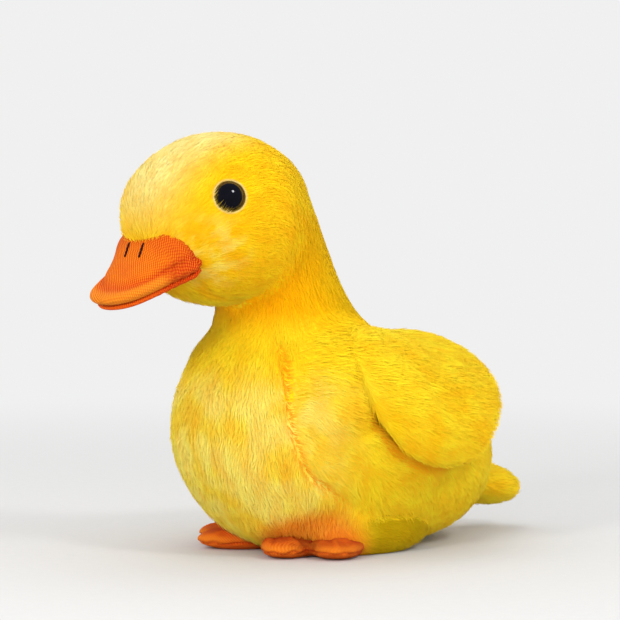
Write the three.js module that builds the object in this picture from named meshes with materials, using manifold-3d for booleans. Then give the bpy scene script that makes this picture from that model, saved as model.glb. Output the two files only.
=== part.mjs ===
// A stuffed plush duckling that sits on its belly, in millimetres.
// It faces -Y, its left side is +X, +Z is up, and the origin lies on the table under the middle of its box.
// The toy is cut plush cloth sewn into panels round polyester stuffing, with a bag of plastic pellets in the
// seat, snap-in plastic eyes, a padded bill, padded feet, and two flat wings that are sewn on by their front
// edge only, so that they can be lifted off the body.

import * as THREE from "three";
import { mergeVertices } from "three/addons/utils/BufferGeometryUtils.js";
import Module from "manifold-3d";

const wasm = await Module();
wasm.setup();

// Cloth, clearances and flats.
const clothThickness = 2.4; // the backing and its pressed pile
const shortCloth = 1.2; // the smooth cloth of the bill and feet
const seamGap = 0.3; // between pieces that are sewn or pressed together
const flatDepth = 0.5; // how deep the soft parts that touch the table are flattened
const overrun = 20; // how far a cutting solid runs past what it cuts

// Body.
const torsoLength = 137.5;
const torsoWidth = 92;
const torsoHeight = 80;
const torsoFrontY = -68.5;
// Rows run from breast to rump, as a share of the length.
const torsoCentreShares = [
  [0, 0.62],
  [0.09, 0.59],
  [0.167, 0.575],
  [0.306, 0.56],
  [0.514, 0.525],
  [0.722, 0.475],
  [0.861, 0.44],
  [1, 0.42],
];
const torsoWidthShares = [
  [0, 1.12],
  [0.09, 1.14],
  [0.167, 1.12],
  [0.306, 1.04],
  [0.514, 1.02],
  [0.722, 1.02],
  [0.861, 1.04],
  [1, 1.04],
];
const torsoTopShares = [
  [0, 1.3],
  [0.09, 1.34],
  [0.167, 1.33],
  [0.306, 1.15],
  [0.514, 0.91],
  [0.722, 0.92],
  [0.861, 0.92],
  [1, 0.92],
];
const torsoBottomShares = [
  [0, 1.15],
  [0.09, 1.2],
  [0.167, 1.25],
  [0.306, 1.18],
  [0.514, 1.06],
  [0.722, 1.04],
  [0.861, 1.06],
  [1, 1.05],
];
const torsoFullnessShare = 1.05; // of an ellipse's power of 2: 1 is an ellipse, more is squarer

// Seams of the body. Rows are [share of the torso's length, share of its height].
const collarShare = 1.05;
// The side seam runs from the collar down the breast, then back along the belly to the tail.
const sideSeamShares = [
  [0.165, 1.05],
  [0.135, 0.81],
  [0.131, 0.61],
  [0.172, 0.43],
  [0.247, 0.33],
  [0.327, 0.245],
  [0.41, 0.17],
  [0.5, 0.13],
  [0.72, 0.125],
  [0.86, 0.19],
  [0.98, 0.31],
  [1.11, 0.43],
];
const bellySeamShares = [
  [0.26, 0.32],
  [0.24, -0.2],
];

// Neck, a stack of level rings that leans forward.
const neckHeight = 84;
const neckInset = 22; // how far its foot lies below the body's height
const neckFootZ = torsoHeight - neckInset;
const neckWidth = 54;
const neckFootY = -17;
const neckLean = 38; // how far its top lies in front of its foot
const neckWidthShares = [
  [0, 1.3],
  [0.083, 1.42],
  [0.2, 1.38],
  [0.33, 1.1],
  [0.45, 0.94],
  [0.6, 0.91],
  [0.8, 1],
  [1, 1.1],
];
const neckLeanShares = [
  [0, 0],
  [0.3, 0.13],
  [0.45, 0.255],
  [0.62, 0.455],
  [0.8, 0.71],
  [1, 1],
];

// Head.
const headLength = 76;
const headWidth = 63;
const headHeight = 67;
const headFrontY = -97.5;
const headRise = 50; // how far its middle lies above the body's height
const headCentreZ = torsoHeight + headRise;
const headWidthShares = [
  [0, 0.9],
  [0.2, 0.95],
  [0.5, 1.03],
  [0.75, 1.04],
  [1, 0.98],
];
const headTopShares = [
  [0, 0.76],
  [0.15, 0.8],
  [0.3, 0.85],
  [0.5, 0.89],
  [0.8, 0.91],
  [1, 0.9],
];
const headBottomShares = [
  [0, 0.98],
  [0.25, 1.0],
  [0.6, 1.02],
  [0.8, 1.0],
  [1, 1.0],
];
const headFullnessShare = 1.05;
const gussetWidth = 24; // the strip that runs from the chin over the face and crown to the nape

// Bill. It slopes down and forward from inside the face.
const billLength = 40;
const billWidth = 38;
const billHeight = 25;
const billInset = 21.4; // how far its root lies behind the front of the face
const billDrop = 13.5; // below the middle of the head
const billRootY = headFrontY + billInset;
const billRootZ = headCentreZ - billDrop;
const billSlope = THREE.MathUtils.degToRad(26);
const billWidthShares = [
  [0, 1.3],
  [0.28, 1.25],
  [0.465, 0.96],
  [0.725, 0.88],
  [0.9, 0.95],
  [1, 1],
];
const upperBillTopShares = [
  [0, 1.5],
  [0.2, 1.5],
  [0.33, 1.25],
  [0.434, 0.93],
  [0.554, 0.6],
  [0.78, 0.35],
  [0.9, 0.3],
  [1, 0.3],
];
const upperBillUnderside = 2.1; // depth of the upper bill below its widest line
const billFullnessShare = 1.125;
const lowerBillLengthShare = 0.98;
const lowerBillWidthShare = 0.94;
const lowerBillThickness = 4.2;
const lensInsetShare = 0.2; // of the lower bill's length, left free of wadding at each end
const lensWidthShare = 0.62; // of the bill's width
const lensThicknessShare = 0.8; // of the room between the cloths

// Wings. Each one lies on the body's side and stands off from it towards its tip.
const wingLength = 73;
const wingFrontY = -27;
const wingThickness = 13;
const wingStandoff = 7; // at the tip
const wingStandoffShares = [
  [0, 0],
  [0.35, 0],
  [0.6, 0.06],
  [0.8, 0.4],
  [1, 1],
];
const wingHalfAngle = THREE.MathUtils.degToRad(40); // how far the wing reaches round the body each way
const wingUpperShares = [
  [0, 0.9],
  [0.25, 0.88],
  [0.5, 0.98],
  [0.75, 1.26],
  [1, 1.65],
];
const wingLowerShares = [
  [0, 1.15],
  [0.25, 1.1],
  [0.5, 1.06],
  [0.75, 1.06],
  [1, 0.95],
];
const wingRaise = THREE.MathUtils.degToRad(35); // the angle of the wing's middle above the body's widest line
const wingRaiseShares = [
  [0, 1],
  [0.5, 1],
  [1, 1.15],
];

// Tail.
const tailLength = 44;
const tailWidth = 27;
const tailThickness = 16;
const tailInset = 18; // how far its root lies inside the rump
const tailRootY = torsoFrontY + torsoLength - tailInset;
const tailRootZ = 23;
const tailDrop = 7; // how far the tip lies below the root

// Legs, which lie along the floor under the belly, and feet.
const legLength = 52;
const legThickness = 20;
const legRearY = 21;
const legOffset = 29; // from the middle plane
const footLength = 35;
const footThickness = 8.6;
const toeWidth = 21;
const toeOverlap = 3.2; // how far the two toes run into each other
const toeSpread = THREE.MathUtils.degToRad(7); // the turn of each toe away from the other
const footOffset = 21.5; // from the middle plane
const footCentreY = -29;
const footSplay = THREE.MathUtils.degToRad(40);
const footFullnessShare = 1.15;
const soleShare = 0.3; // of the foot's thickness, where the sole's seam runs

// Eyes, moulded buttons whose post is locked by a washer behind the cloth.
const eyeDiameter = 10.5;
const eyeHeight = 3.7;
const eyeSink = 1.0; // how deep the flange sits in the cloth
const eyeRimThickness = 0.9;
const eyeAngle = THREE.MathUtils.degToRad(62); // from straight ahead
const eyeRaise = 7; // above the middle of the head
const postDiameter = 3.2;
const postLength = 10;
const washerDiameter = 13;
const washerThickness = 1.4;

// Threads.
const threadDiameter = 1.0;
const nostrilLength = 4.6; // measured along the bill's axis
const nostrilOffset = 4.3; // from the middle plane
const nostrilShare = 0.475; // of the bill's length, from its root
const toeStitchLength = 9;
const toeStitchInset = 9; // behind the toes' tips
const toeStitchRiseShare = 0.7; // of the foot's thickness
const slitLength = 30; // the turning gap in the belly, sewn up by hand
const slitWidth = 1.6;
const slitCentreY = 16;
const stitchPitch = 3.4;

// Pellet bag in the seat.
const bagLength = 70;
const bagWidth = 50;
const bagHeight = 20;
const bagCentreY = -2;
const bagCloth = 1.0;

const threadSides = 3; // curve segments of each half turn

// Shapes and booleans.

// A smooth curve through rows of [place, value], with each row's slope taken from its neighbours.
function smoothCurve(rows) {
  const slope = (i) => {
    const before = rows[Math.max(i - 1, 0)];
    const after = rows[Math.min(i + 1, rows.length - 1)];
    return (after[1] - before[1]) / (after[0] - before[0]);
  };
  return (t) => {
    let i = 0;
    while (i < rows.length - 2 && t > rows[i + 1][0]) i += 1;
    const [t0, v0] = rows[i];
    const [t1, v1] = rows[i + 1];
    const span = t1 - t0;
    const u = (t - t0) / span;
    const rise = u * u * (3 - 2 * u);
    return v0 + (v1 - v0) * rise + span * u * (1 - u) * (slope(i) * (1 - u) - slope(i + 1) * u);
  };
}

const signedPower = (value, power) => Math.sign(value) * Math.abs(value) ** power;

// A closed skin over rings of points that lie between a first and a last point.
function skinned(points, rings, sides) {
  const last = points.length - 1;
  const at = (i, k) => 1 + (i - 1) * sides + (k % sides);
  const faces = [];
  for (let k = 0; k < sides; k += 1) {
    faces.push(0, at(1, k + 1), at(1, k));
    for (let i = 1; i < rings - 1; i += 1) {
      faces.push(at(i, k), at(i, k + 1), at(i + 1, k));
      faces.push(at(i, k + 1), at(i + 1, k + 1), at(i + 1, k));
    }
    faces.push(at(rings - 1, k), at(rings - 1, k + 1), last);
  }
  const geometry = new THREE.BufferGeometry().setFromPoints(points);
  geometry.setIndex(faces);
  return facingOut(geometry);
}

// A closed form: ringAt(t) gives a centre, a half width vector and the vectors above and below the centre.
// The rings draw in towards both ends as a circle does, and a point closes each end.
function closedForm(ringAt, rings, sides, fullnessShare = 1) {
  const power = 1 / fullnessShare;
  const points = [];
  for (let i = 0; i <= rings; i += 1) {
    const turn = (Math.PI * i) / rings;
    const ring = ringAt((1 - Math.cos(turn)) / 2);
    const count = i === 0 || i === rings ? 1 : sides;
    for (let k = 0; k < count; k += 1) {
      const angle = (2 * Math.PI * k) / sides;
      const across = signedPower(Math.cos(angle), power) * Math.sin(turn);
      const up = signedPower(Math.sin(angle), power) * Math.sin(turn);
      const lift = up > 0 ? ring.above : ring.below;
      points.push(ring.centre.clone().addScaledVector(ring.side, across).addScaledVector(lift, up));
    }
  }
  return skinned(points, rings, sides);
}

// The geometry with its faces turned round if they point inwards.
function facingOut(geometry) {
  const place = geometry.getAttribute("position");
  const index = geometry.index.array;
  const [a, b, c] = [new THREE.Vector3(), new THREE.Vector3(), new THREE.Vector3()];
  let volume = 0;
  for (let i = 0; i < index.length; i += 3) {
    a.fromBufferAttribute(place, index[i]);
    b.fromBufferAttribute(place, index[i + 1]);
    c.fromBufferAttribute(place, index[i + 2]);
    volume += a.dot(b.cross(c));
  }
  if (volume < 0) {
    for (let i = 0; i < index.length; i += 3) {
      [index[i + 1], index[i + 2]] = [index[i + 2], index[i + 1]];
    }
  }
  geometry.computeVertexNormals();
  return geometry;
}

// A copy of a closed form with every point moved along its normal: outwards for a positive distance.
function grown(geometry, distance) {
  const copy = geometry.clone();
  const place = copy.getAttribute("position");
  const normal = copy.getAttribute("normal");
  for (let i = 0; i < place.count; i += 1) {
    place.setXYZ(
      i,
      place.getX(i) + normal.getX(i) * distance,
      place.getY(i) + normal.getY(i) * distance,
      place.getZ(i) + normal.getZ(i) * distance,
    );
  }
  return copy;
}

// The solid of a closed geometry, for joining and cutting.
function solidOf(geometry) {
  const bare = geometry.clone();
  bare.deleteAttribute("normal");
  if (bare.getAttribute("uv")) bare.deleteAttribute("uv");
  const merged = mergeVertices(bare, 1e-4);
  return new wasm.Manifold(
    new wasm.Mesh({
      numProp: 3,
      vertProperties: merged.getAttribute("position").array,
      triVerts: new Uint32Array(merged.index.array),
    }),
  );
}

// The largest body of a solid. Slivers that a cut leaves loose are dropped.
function largest(solid) {
  return solid.decompose().sort((a, b) => b.volume() - a.volume())[0];
}

function geometryOf(solid) {
  const mesh = solid.getMesh();
  const geometry = new THREE.BufferGeometry();
  geometry.setAttribute("position", new THREE.BufferAttribute(new Float32Array(mesh.vertProperties), 3));
  geometry.setIndex(new THREE.BufferAttribute(new Uint32Array(mesh.triVerts), 1));
  return geometry;
}

function boxSolid(low, high) {
  const size = high.clone().sub(low);
  const box = new THREE.BoxGeometry(size.x, size.y, size.z);
  box.translate((low.x + high.x) / 2, (low.y + high.y) / 2, (low.z + high.z) / 2);
  return solidOf(box);
}

// How far a form moves up to press flatDepth into the table.
function seatLift(geometry) {
  geometry.computeBoundingBox();
  return -flatDepth - geometry.boundingBox.min.z;
}

// A side-view outline of [y, z] points as a slab across the toy, from x to x.
function slabAcross(outline, fromX, toX) {
  const shape = new THREE.Shape(outline.map(([y, z]) => new THREE.Vector2(y, z)));
  const slab = new THREE.ExtrudeGeometry(shape, { depth: toX - fromX, bevelEnabled: false });
  slab.applyMatrix4(
    new THREE.Matrix4().makeBasis(
      new THREE.Vector3(0, 1, 0),
      new THREE.Vector3(0, 0, 1),
      new THREE.Vector3(1, 0, 0),
    ),
  );
  slab.translate(fromX, 0, 0);
  return solidOf(slab);
}

// The thin sheet that parts two panels along a side-view seam of [y, z] points.
function seamSheet(seam, width) {
  const half = seamGap / 2;
  const edge = (sign) =>
    seam.map(([y, z], i) => {
      const [y0, z0] = seam[Math.max(i - 1, 0)];
      const [y1, z1] = seam[Math.min(i + 1, seam.length - 1)];
      const run = Math.hypot(y1 - y0, z1 - z0);
      return [y - (sign * half * (z1 - z0)) / run, z + (sign * half * (y1 - y0)) / run];
    });
  return slabAcross([...edge(-1), ...edge(1).reverse()], -width / 2, width / 2);
}

// A round thread along a route of points, with flat ends.
function thread(route, diameter, steps) {
  const circle = new THREE.Shape();
  circle.absarc(0, 0, diameter / 2, 0, 2 * Math.PI);
  return new THREE.ExtrudeGeometry(circle, {
    curveSegments: threadSides,
    steps,
    extrudePath: new THREE.CatmullRomCurve3(route),
  });
}

function mirrored(geometry) {
  const copy = geometry.clone().scale(-1, 1, 1);
  const index = copy.index.array;
  for (let i = 0; i < index.length; i += 3) [index[i + 1], index[i + 2]] = [index[i + 2], index[i + 1]];
  return copy;
}

// Materials.

const cloth = (colour) => new THREE.MeshStandardMaterial({ color: colour, roughness: 0.95, metalness: 0 });
const plush = cloth(0xf6d32d);
const goldenPlush = cloth(0xfbb912);
const billCloth = cloth(0xe8741c);
const mouthCloth = cloth(0xe0501a);
const footCloth = cloth(0xe27a1e);
const fibre = cloth(0xf4f2ec);
const pouchCloth = cloth(0xe9e4d8);
const pelletPlastic = new THREE.MeshStandardMaterial({ color: 0xdfe3e6, roughness: 0.4, metalness: 0 });
const darkThread = new THREE.MeshStandardMaterial({ color: 0x4a1a12, roughness: 0.7, metalness: 0 });
const footThread = new THREE.MeshStandardMaterial({ color: 0xb4481a, roughness: 0.7, metalness: 0 });
const yellowThread = new THREE.MeshStandardMaterial({ color: 0xe6c22a, roughness: 0.7, metalness: 0 });
const eyePlastic = new THREE.MeshStandardMaterial({ color: 0x08080a, roughness: 0.08, metalness: 0 });
const washerPlastic = new THREE.MeshStandardMaterial({ color: 0xf0f0ee, roughness: 0.5, metalness: 0 });

const toy = new THREE.Group();

function add(name, solid, material) {
  const mesh = new THREE.Mesh(geometryOf(solid), material);
  mesh.name = name;
  toy.add(mesh);
  return mesh;
}

// A left piece and its mirror image on the right.
function addPair(name, solid, material) {
  add(`left_${name}`, solid, material);
  const mesh = new THREE.Mesh(mirrored(geometryOf(solid)), material);
  mesh.name = `right_${name}`;
  toy.add(mesh);
}

// The large forms.

const torsoCentre = smoothCurve(torsoCentreShares);
const torsoSide = smoothCurve(torsoWidthShares);
const torsoTop = smoothCurve(torsoTopShares);
const torsoBottom = smoothCurve(torsoBottomShares);
const torsoLying = closedForm(
  (t) => ({
    centre: new THREE.Vector3(0, torsoFrontY + torsoLength * t, torsoHeight * torsoCentre(t)),
    side: new THREE.Vector3((torsoWidth / 2) * torsoSide(t), 0, 0),
    above: new THREE.Vector3(0, 0, (torsoHeight / 2) * torsoTop(t)),
    below: new THREE.Vector3(0, 0, (torsoHeight / 2) * torsoBottom(t)),
  }),
  13,
  22,
  torsoFullnessShare,
);
const torsoLift = seatLift(torsoLying);
const torsoForm = torsoLying.translate(0, 0, torsoLift);

const neckSide = smoothCurve(neckWidthShares);
const neckForward = smoothCurve(neckLeanShares);
const neckForm = closedForm(
  (t) => {
    const swell = 2 * Math.sqrt(t * (1 - t)); // undoes the drawing in, so that the neck stays a tube
    const radius = ((neckWidth / 2) * neckSide(t)) / Math.max(swell, 0.6);
    return {
      centre: new THREE.Vector3(0, neckFootY - neckLean * neckForward(t), neckFootZ + neckHeight * t),
      side: new THREE.Vector3(radius, 0, 0),
      above: new THREE.Vector3(0, radius, 0),
      below: new THREE.Vector3(0, radius, 0),
    };
  },
  9,
  18,
);

const headSide = smoothCurve(headWidthShares);
const headTop = smoothCurve(headTopShares);
const headBottom = smoothCurve(headBottomShares);
const headForm = closedForm(
  (t) => ({
    centre: new THREE.Vector3(0, headFrontY + headLength * t, headCentreZ),
    side: new THREE.Vector3((headWidth / 2) * headSide(t), 0, 0),
    above: new THREE.Vector3(0, 0, (headHeight / 2) * headTop(t)),
    below: new THREE.Vector3(0, 0, (headHeight / 2) * headBottom(t)),
  }),
  12,
  20,
  headFullnessShare,
);

// The body with its neck, and the head, moved in or out by a distance.
const bodySolid = (distance) =>
  solidOf(grown(torsoForm, distance)).add(solidOf(grown(neckForm, distance)));
const headSolid = (distance) => solidOf(grown(headForm, distance));
const bodyKeepOut = bodySolid(seamGap);
const headKeepOut = headSolid(seamGap);
const neckPassage = solidOf(grown(neckForm, -clothThickness));
const aboveTable = boxSolid(
  new THREE.Vector3(-torsoLength, -torsoLength, 0),
  new THREE.Vector3(torsoLength, torsoLength, torsoLength * 2),
);
const stuffingDepth = clothThickness + seamGap;

// Eyes and washers.

// A turned form on the Z axis from [radius, height] points, standing on the cloth's outer face at height 0.
function turned(profile) {
  const outline = profile.map(([r, z]) => new THREE.Vector2(r, z));
  return new THREE.LatheGeometry(outline, 16).rotateX(Math.PI / 2);
}

// The eye's outline, grown by a clearance where a hole is cut for it.
function eyeOutline(clearance) {
  const radius = eyeDiameter / 2 + clearance;
  const post = postDiameter / 2 + clearance;
  const foot = -eyeSink - clearance;
  const rim = foot + eyeRimThickness + clearance;
  const dome = [];
  for (let i = 0; i < 4; i += 1) {
    const angle = (Math.PI / 2) * (i / 4);
    dome.push([radius * Math.cos(angle), rim + (eyeHeight + clearance) * Math.sin(angle)]);
  }
  const top = [0, rim + eyeHeight + clearance];
  return [[0, foot - postLength], [post, foot - postLength], [post, foot], [radius, foot], ...dome, top];
}

// Moves a turned form to the left eye: its axis leaves the head square to the cloth.
const eyeStart = new THREE.Vector3(0, headFrontY + headLength / 2, headCentreZ + eyeRaise);
const eyeWay = new THREE.Vector3(Math.sin(eyeAngle), -Math.cos(eyeAngle), 0);
const twoSided = new THREE.MeshBasicMaterial({ side: THREE.DoubleSide });
const eyePoint = new THREE.Raycaster(eyeStart, eyeWay).intersectObject(new THREE.Mesh(headForm, twoSided))[0]
  .point;
const headHalves = new THREE.Vector3(headWidth, headLength, headHeight).divideScalar(2);
const eyeAxis = eyePoint
  .clone()
  .sub(new THREE.Vector3(0, headFrontY + headLength / 2, headCentreZ))
  .divide(headHalves)
  .divide(headHalves)
  .normalize();
const eyeTurn = new THREE.Quaternion().setFromUnitVectors(new THREE.Vector3(0, 0, 1), eyeAxis);
const eyePlace = new THREE.Matrix4().makeRotationFromQuaternion(eyeTurn).setPosition(eyePoint);
const atEye = (geometry) => solidOf(geometry.applyMatrix4(eyePlace));
const bothSides = (solid) => solid.add(solid.mirror([1, 0, 0]));

// The washer's section from its bore outwards, or with no bore where room is cut for it.
function washerOutline(bore, clearance) {
  const outer = washerDiameter / 2 + clearance;
  const top = -stuffingDepth + clearance;
  const bottom = -stuffingDepth - washerThickness - clearance;
  return [[bore, bottom], [outer, bottom], [outer, top], [bore, top]];
}
const washerSection = washerOutline(postDiameter / 2 + seamGap, 0);
const eyeRoom = bothSides(
  atEye(turned(eyeOutline(seamGap))).add(atEye(turned(washerOutline(0, seamGap)))),
);

// Head: two cheek panels with a gusset between them.

const headShell = headSolid(0).subtract(headSolid(-clothThickness)).subtract(neckPassage).subtract(eyeRoom);
const strip = (fromX, toX) =>
  boxSolid(
    new THREE.Vector3(fromX, headFrontY - overrun, 0),
    new THREE.Vector3(toX, headFrontY + headLength + overrun, headCentreZ + headHeight),
  );
const gussetHalf = gussetWidth / 2;
add("head_gusset", largest(headShell.intersect(strip(-gussetHalf, gussetHalf))), plush);
addPair("cheek_panel", largest(headShell.intersect(strip(gussetHalf + seamGap, headWidth))), plush);
addPair("eye", atEye(turned(eyeOutline(0))), eyePlastic);
addPair("eye_washer", atEye(turned([...washerSection, washerSection[0]])), washerPlastic);

// Body: a collar seam parts the neck, and side, belly and back seams part the panels under it.

const alongTorso = (t, z) => [torsoFrontY + torsoLength * t, torsoHeight * z];
const sideSeam = new THREE.SplineCurve(
  sideSeamShares.map(([t, z]) => new THREE.Vector2(...alongTorso(t, z))),
)
  .getPoints(20)
  .map((p) => [p.x, p.y]);
const bellySeam = bellySeamShares.map(([t, z]) => alongTorso(t, z));
const collarSeam = [
  alongTorso(-1, collarShare),
  alongTorso(2, collarShare),
];
const seamEnds = [sideSeamShares.at(-1)[0], sideSeamShares[0][0]];
const backOutline = [...sideSeam, ...seamEnds.map((t) => alongTorso(t, collarShare))];
const acrossTorso = torsoWidth + overrun;
const seams = seamSheet(sideSeam, acrossTorso)
  .add(seamSheet(bellySeam, acrossTorso))
  .add(seamSheet(collarSeam, acrossTorso))
  .add(slabAcross(backOutline, -seamGap / 2, seamGap / 2));

// The turning gap in the belly and the thread that closes it.
const slit = boxSolid(
  new THREE.Vector3(-slitWidth / 2, slitCentreY - slitLength / 2, -overrun),
  new THREE.Vector3(slitWidth / 2, slitCentreY + slitLength / 2, clothThickness * 2),
);
const stitchRoute = [];
const stitchCount = Math.floor(slitLength / stitchPitch);
for (let i = 0; i <= stitchCount; i += 1) {
  const x = (i % 2 ? 1 : -1) * slitWidth;
  const y = slitCentreY + (i - stitchCount / 2) * stitchPitch;
  stitchRoute.push(new THREE.Vector3(x, y, clothThickness / 2));
}
const closingThread = (diameter) => solidOf(thread(stitchRoute, diameter, stitchCount * 2));

const bodyPanels = bodySolid(0)
  .subtract(bodySolid(-clothThickness))
  .subtract(headKeepOut)
  .intersect(aboveTable)
  .subtract(seams)
  .subtract(slit)
  .subtract(closingThread(threadDiameter + 2 * seamGap))
  .decompose()
  .sort((a, b) => b.volume() - a.volume())
  .slice(0, 5);
const middleOf = (solid) => {
  const box = solid.boundingBox();
  return new THREE.Vector3(...box.min).add(new THREE.Vector3(...box.max)).divideScalar(2);
};
// The panel whose middle lies furthest one way.
const furthest = (score) => [...bodyPanels].sort((a, b) => score(middleOf(b)) - score(middleOf(a)))[0];
add("neck_sleeve", furthest((m) => m.z), goldenPlush);
add("breast_panel", furthest((m) => -m.y - m.z), plush);
add("belly_panel", furthest((m) => -m.z), plush);
addPair("side_panel", furthest((m) => m.x), plush);
add("closing_thread", closingThread(threadDiameter), yellowThread);

// Stuffing, and the pellet bag in the seat.

const bagForm = closedForm(
  (t) => ({
    centre: new THREE.Vector3(0, bagCentreY + bagLength * (t - 0.5), bagHeight / 2),
    side: new THREE.Vector3(bagWidth / 2, 0, 0),
    above: new THREE.Vector3(0, 0, bagHeight / 2),
    below: new THREE.Vector3(0, 0, bagHeight / 2),
  }),
  8,
  14,
);
// The bag rests on the belly cloth, so the room inside the body flattens its underside.
const bagPart = (depth) =>
  solidOf(grown(bagForm, -depth)).intersect(solidOf(grown(torsoForm, -stuffingDepth - depth)));
const bagMouth = boxSolid(
  new THREE.Vector3(-bagWidth / 5, bagCentreY - bagLength, bagHeight / 2),
  new THREE.Vector3(bagWidth / 5, bagCentreY - bagLength / 4, bagHeight / 2 + seamGap),
);
add("pellet_bag", largest(bagPart(0).subtract(bagPart(bagCloth)).subtract(bagMouth)), pouchCloth);
add("plastic_pellets", largest(bagPart(bagCloth + seamGap)), pelletPlastic);
const stuffing = bodySolid(-stuffingDepth)
  .add(headSolid(-stuffingDepth))
  .subtract(solidOf(grown(bagForm, seamGap)))
  .subtract(eyeRoom);
add("stuffing", largest(stuffing), fibre);

// Bill: an upper and a lower half, each a smooth cloth case round wadding.

const billWay = new THREE.Vector3(0, -Math.cos(billSlope), -Math.sin(billSlope));
const billUp = new THREE.Vector3(0, -Math.sin(billSlope), Math.cos(billSlope));
const billRoot = new THREE.Vector3(0, billRootY, billRootZ);
const billSide = smoothCurve(billWidthShares);
const billTop = smoothCurve(upperBillTopShares);
const alongBill = (t, up) =>
  billRoot
    .clone()
    .addScaledVector(billWay, billLength * t)
    .addScaledVector(billUp, up);
const upperBillForm = closedForm(
  (t) => ({
    centre: alongBill(t, 0),
    side: new THREE.Vector3((billWidth / 2) * billSide(t), 0, 0),
    above: billUp.clone().multiplyScalar((billHeight / 2) * billTop(t)),
    below: billUp.clone().multiplyScalar(upperBillUnderside),
  }),
  10,
  16,
  billFullnessShare,
);
const lowerBillForm = closedForm(
  (t) => ({
    centre: alongBill(lowerBillLengthShare * t, -upperBillUnderside - seamGap - lowerBillThickness / 3),
    side: new THREE.Vector3((billWidth / 2) * lowerBillWidthShare * billSide(t), 0, 0),
    above: billUp.clone().multiplyScalar(lowerBillThickness / 3),
    below: billUp.clone().multiplyScalar((lowerBillThickness * 2) / 3),
  }),
  8,
  12,
  billFullnessShare,
);

// Each nostril is a stitch that lies half sunk in the top of the bill.
const onBill = (x, t) => {
  const ray = new THREE.Raycaster(alongBill(t, billHeight).setX(x), billUp.clone().negate());
  return ray.intersectObject(new THREE.Mesh(upperBillForm, twoSided))[0].point;
};
const nostrilRoute = [-0.5, 0, 0.5].map((end) =>
  onBill(nostrilOffset, nostrilShare + (end * nostrilLength) / billLength),
);
const nostril = (diameter) => solidOf(thread(nostrilRoute, diameter, 3));
const rimOutline = (up) => [
  [alongBill(-0.5, 0).y, alongBill(-0.5, up).z],
  [alongBill(1.5, 0).y, alongBill(1.5, up).z],
  [alongBill(1.5, 0).y, alongBill(1.5, up).z + Math.sign(up) * billLength * 2],
  [alongBill(-0.5, 0).y, alongBill(-0.5, up).z + Math.sign(up) * billLength * 2],
];
const upperBill = solidOf(upperBillForm).subtract(headKeepOut);
const upperBillShell = upperBill
  .subtract(solidOf(grown(upperBillForm, -shortCloth)))
  .subtract(bothSides(nostril(threadDiameter + 2 * seamGap)));
const rimHalf = (sign) =>
  largest(upperBillShell.intersect(slabAcross(rimOutline((sign * seamGap) / 2), -billWidth, billWidth)));
add("upper_bill", rimHalf(1), billCloth);
add("palate", rimHalf(-1), mouthCloth);
const shortDepth = shortCloth + 2 * seamGap;
const upperWadding = largest(solidOf(grown(upperBillForm, -shortDepth)).subtract(headKeepOut));
add("upper_bill_wadding", upperWadding.subtract(bothSides(nostril(threadDiameter * 2))), fibre);
const lowerBill = solidOf(lowerBillForm)
  .subtract(headKeepOut)
  .subtract(solidOf(grown(upperBillForm, seamGap)));
add("lower_bill", largest(lowerBill.subtract(solidOf(grown(lowerBillForm, -shortCloth)))), mouthCloth);
// Its wadding is a lens in the middle, because towards its edges the bill is only cloth.
const lensLift = billUp
  .clone()
  .multiplyScalar((lowerBillThickness / 2 - shortCloth - seamGap) * lensThicknessShare);
const lowerWaddingForm = closedForm(
  (t) => {
    const along = lensInsetShare + t * (1 - 2 * lensInsetShare);
    return {
      centre: alongBill(lowerBillLengthShare * along, -upperBillUnderside - seamGap - lowerBillThickness / 2),
      side: new THREE.Vector3((billWidth / 2) * lensWidthShare * billSide(along), 0, 0),
      above: lensLift,
      below: lensLift,
    };
  },
  8,
  12,
  billFullnessShare,
);
add("lower_bill_wadding", largest(solidOf(lowerWaddingForm).subtract(headKeepOut)), fibre);
addPair("nostril_stitch", nostril(threadDiameter), darkThread);

// Tail: a top and an underside sewn round wadding.

const alongTail = (t, up) => [tailRootY + tailLength * t, tailRootZ - tailDrop * t + up];
const tailForm = closedForm(
  (t) => ({
    centre: new THREE.Vector3(0, ...alongTail(t, 0)),
    side: new THREE.Vector3(tailWidth / 2, 0, 0),
    above: new THREE.Vector3(0, 0, tailThickness / 2),
    below: new THREE.Vector3(0, 0, tailThickness / 2),
  }),
  8,
  14,
);
const tailShell = solidOf(tailForm)
  .subtract(bodyKeepOut)
  .subtract(solidOf(grown(tailForm, -clothThickness)));
const tailHalf = (sign) => {
  const low = (sign * seamGap) / 2;
  const high = sign * tailThickness * 2;
  const outline = [alongTail(-1, low), alongTail(2, low), alongTail(2, high), alongTail(-1, high)];
  return largest(tailShell.intersect(slabAcross(outline, -tailWidth, tailWidth)));
};
add("tail_top", tailHalf(1), plush);
add("tail_underside", tailHalf(-1), plush);
add("tail_wadding", largest(solidOf(grown(tailForm, -stuffingDepth)).subtract(bodyKeepOut)), fibre);

// Wings.

const standoff = smoothCurve(wingStandoffShares);
const wingUpper = smoothCurve(wingUpperShares);
const wingLower = smoothCurve(wingLowerShares);
const wingMiddle = smoothCurve(wingRaiseShares);

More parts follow.
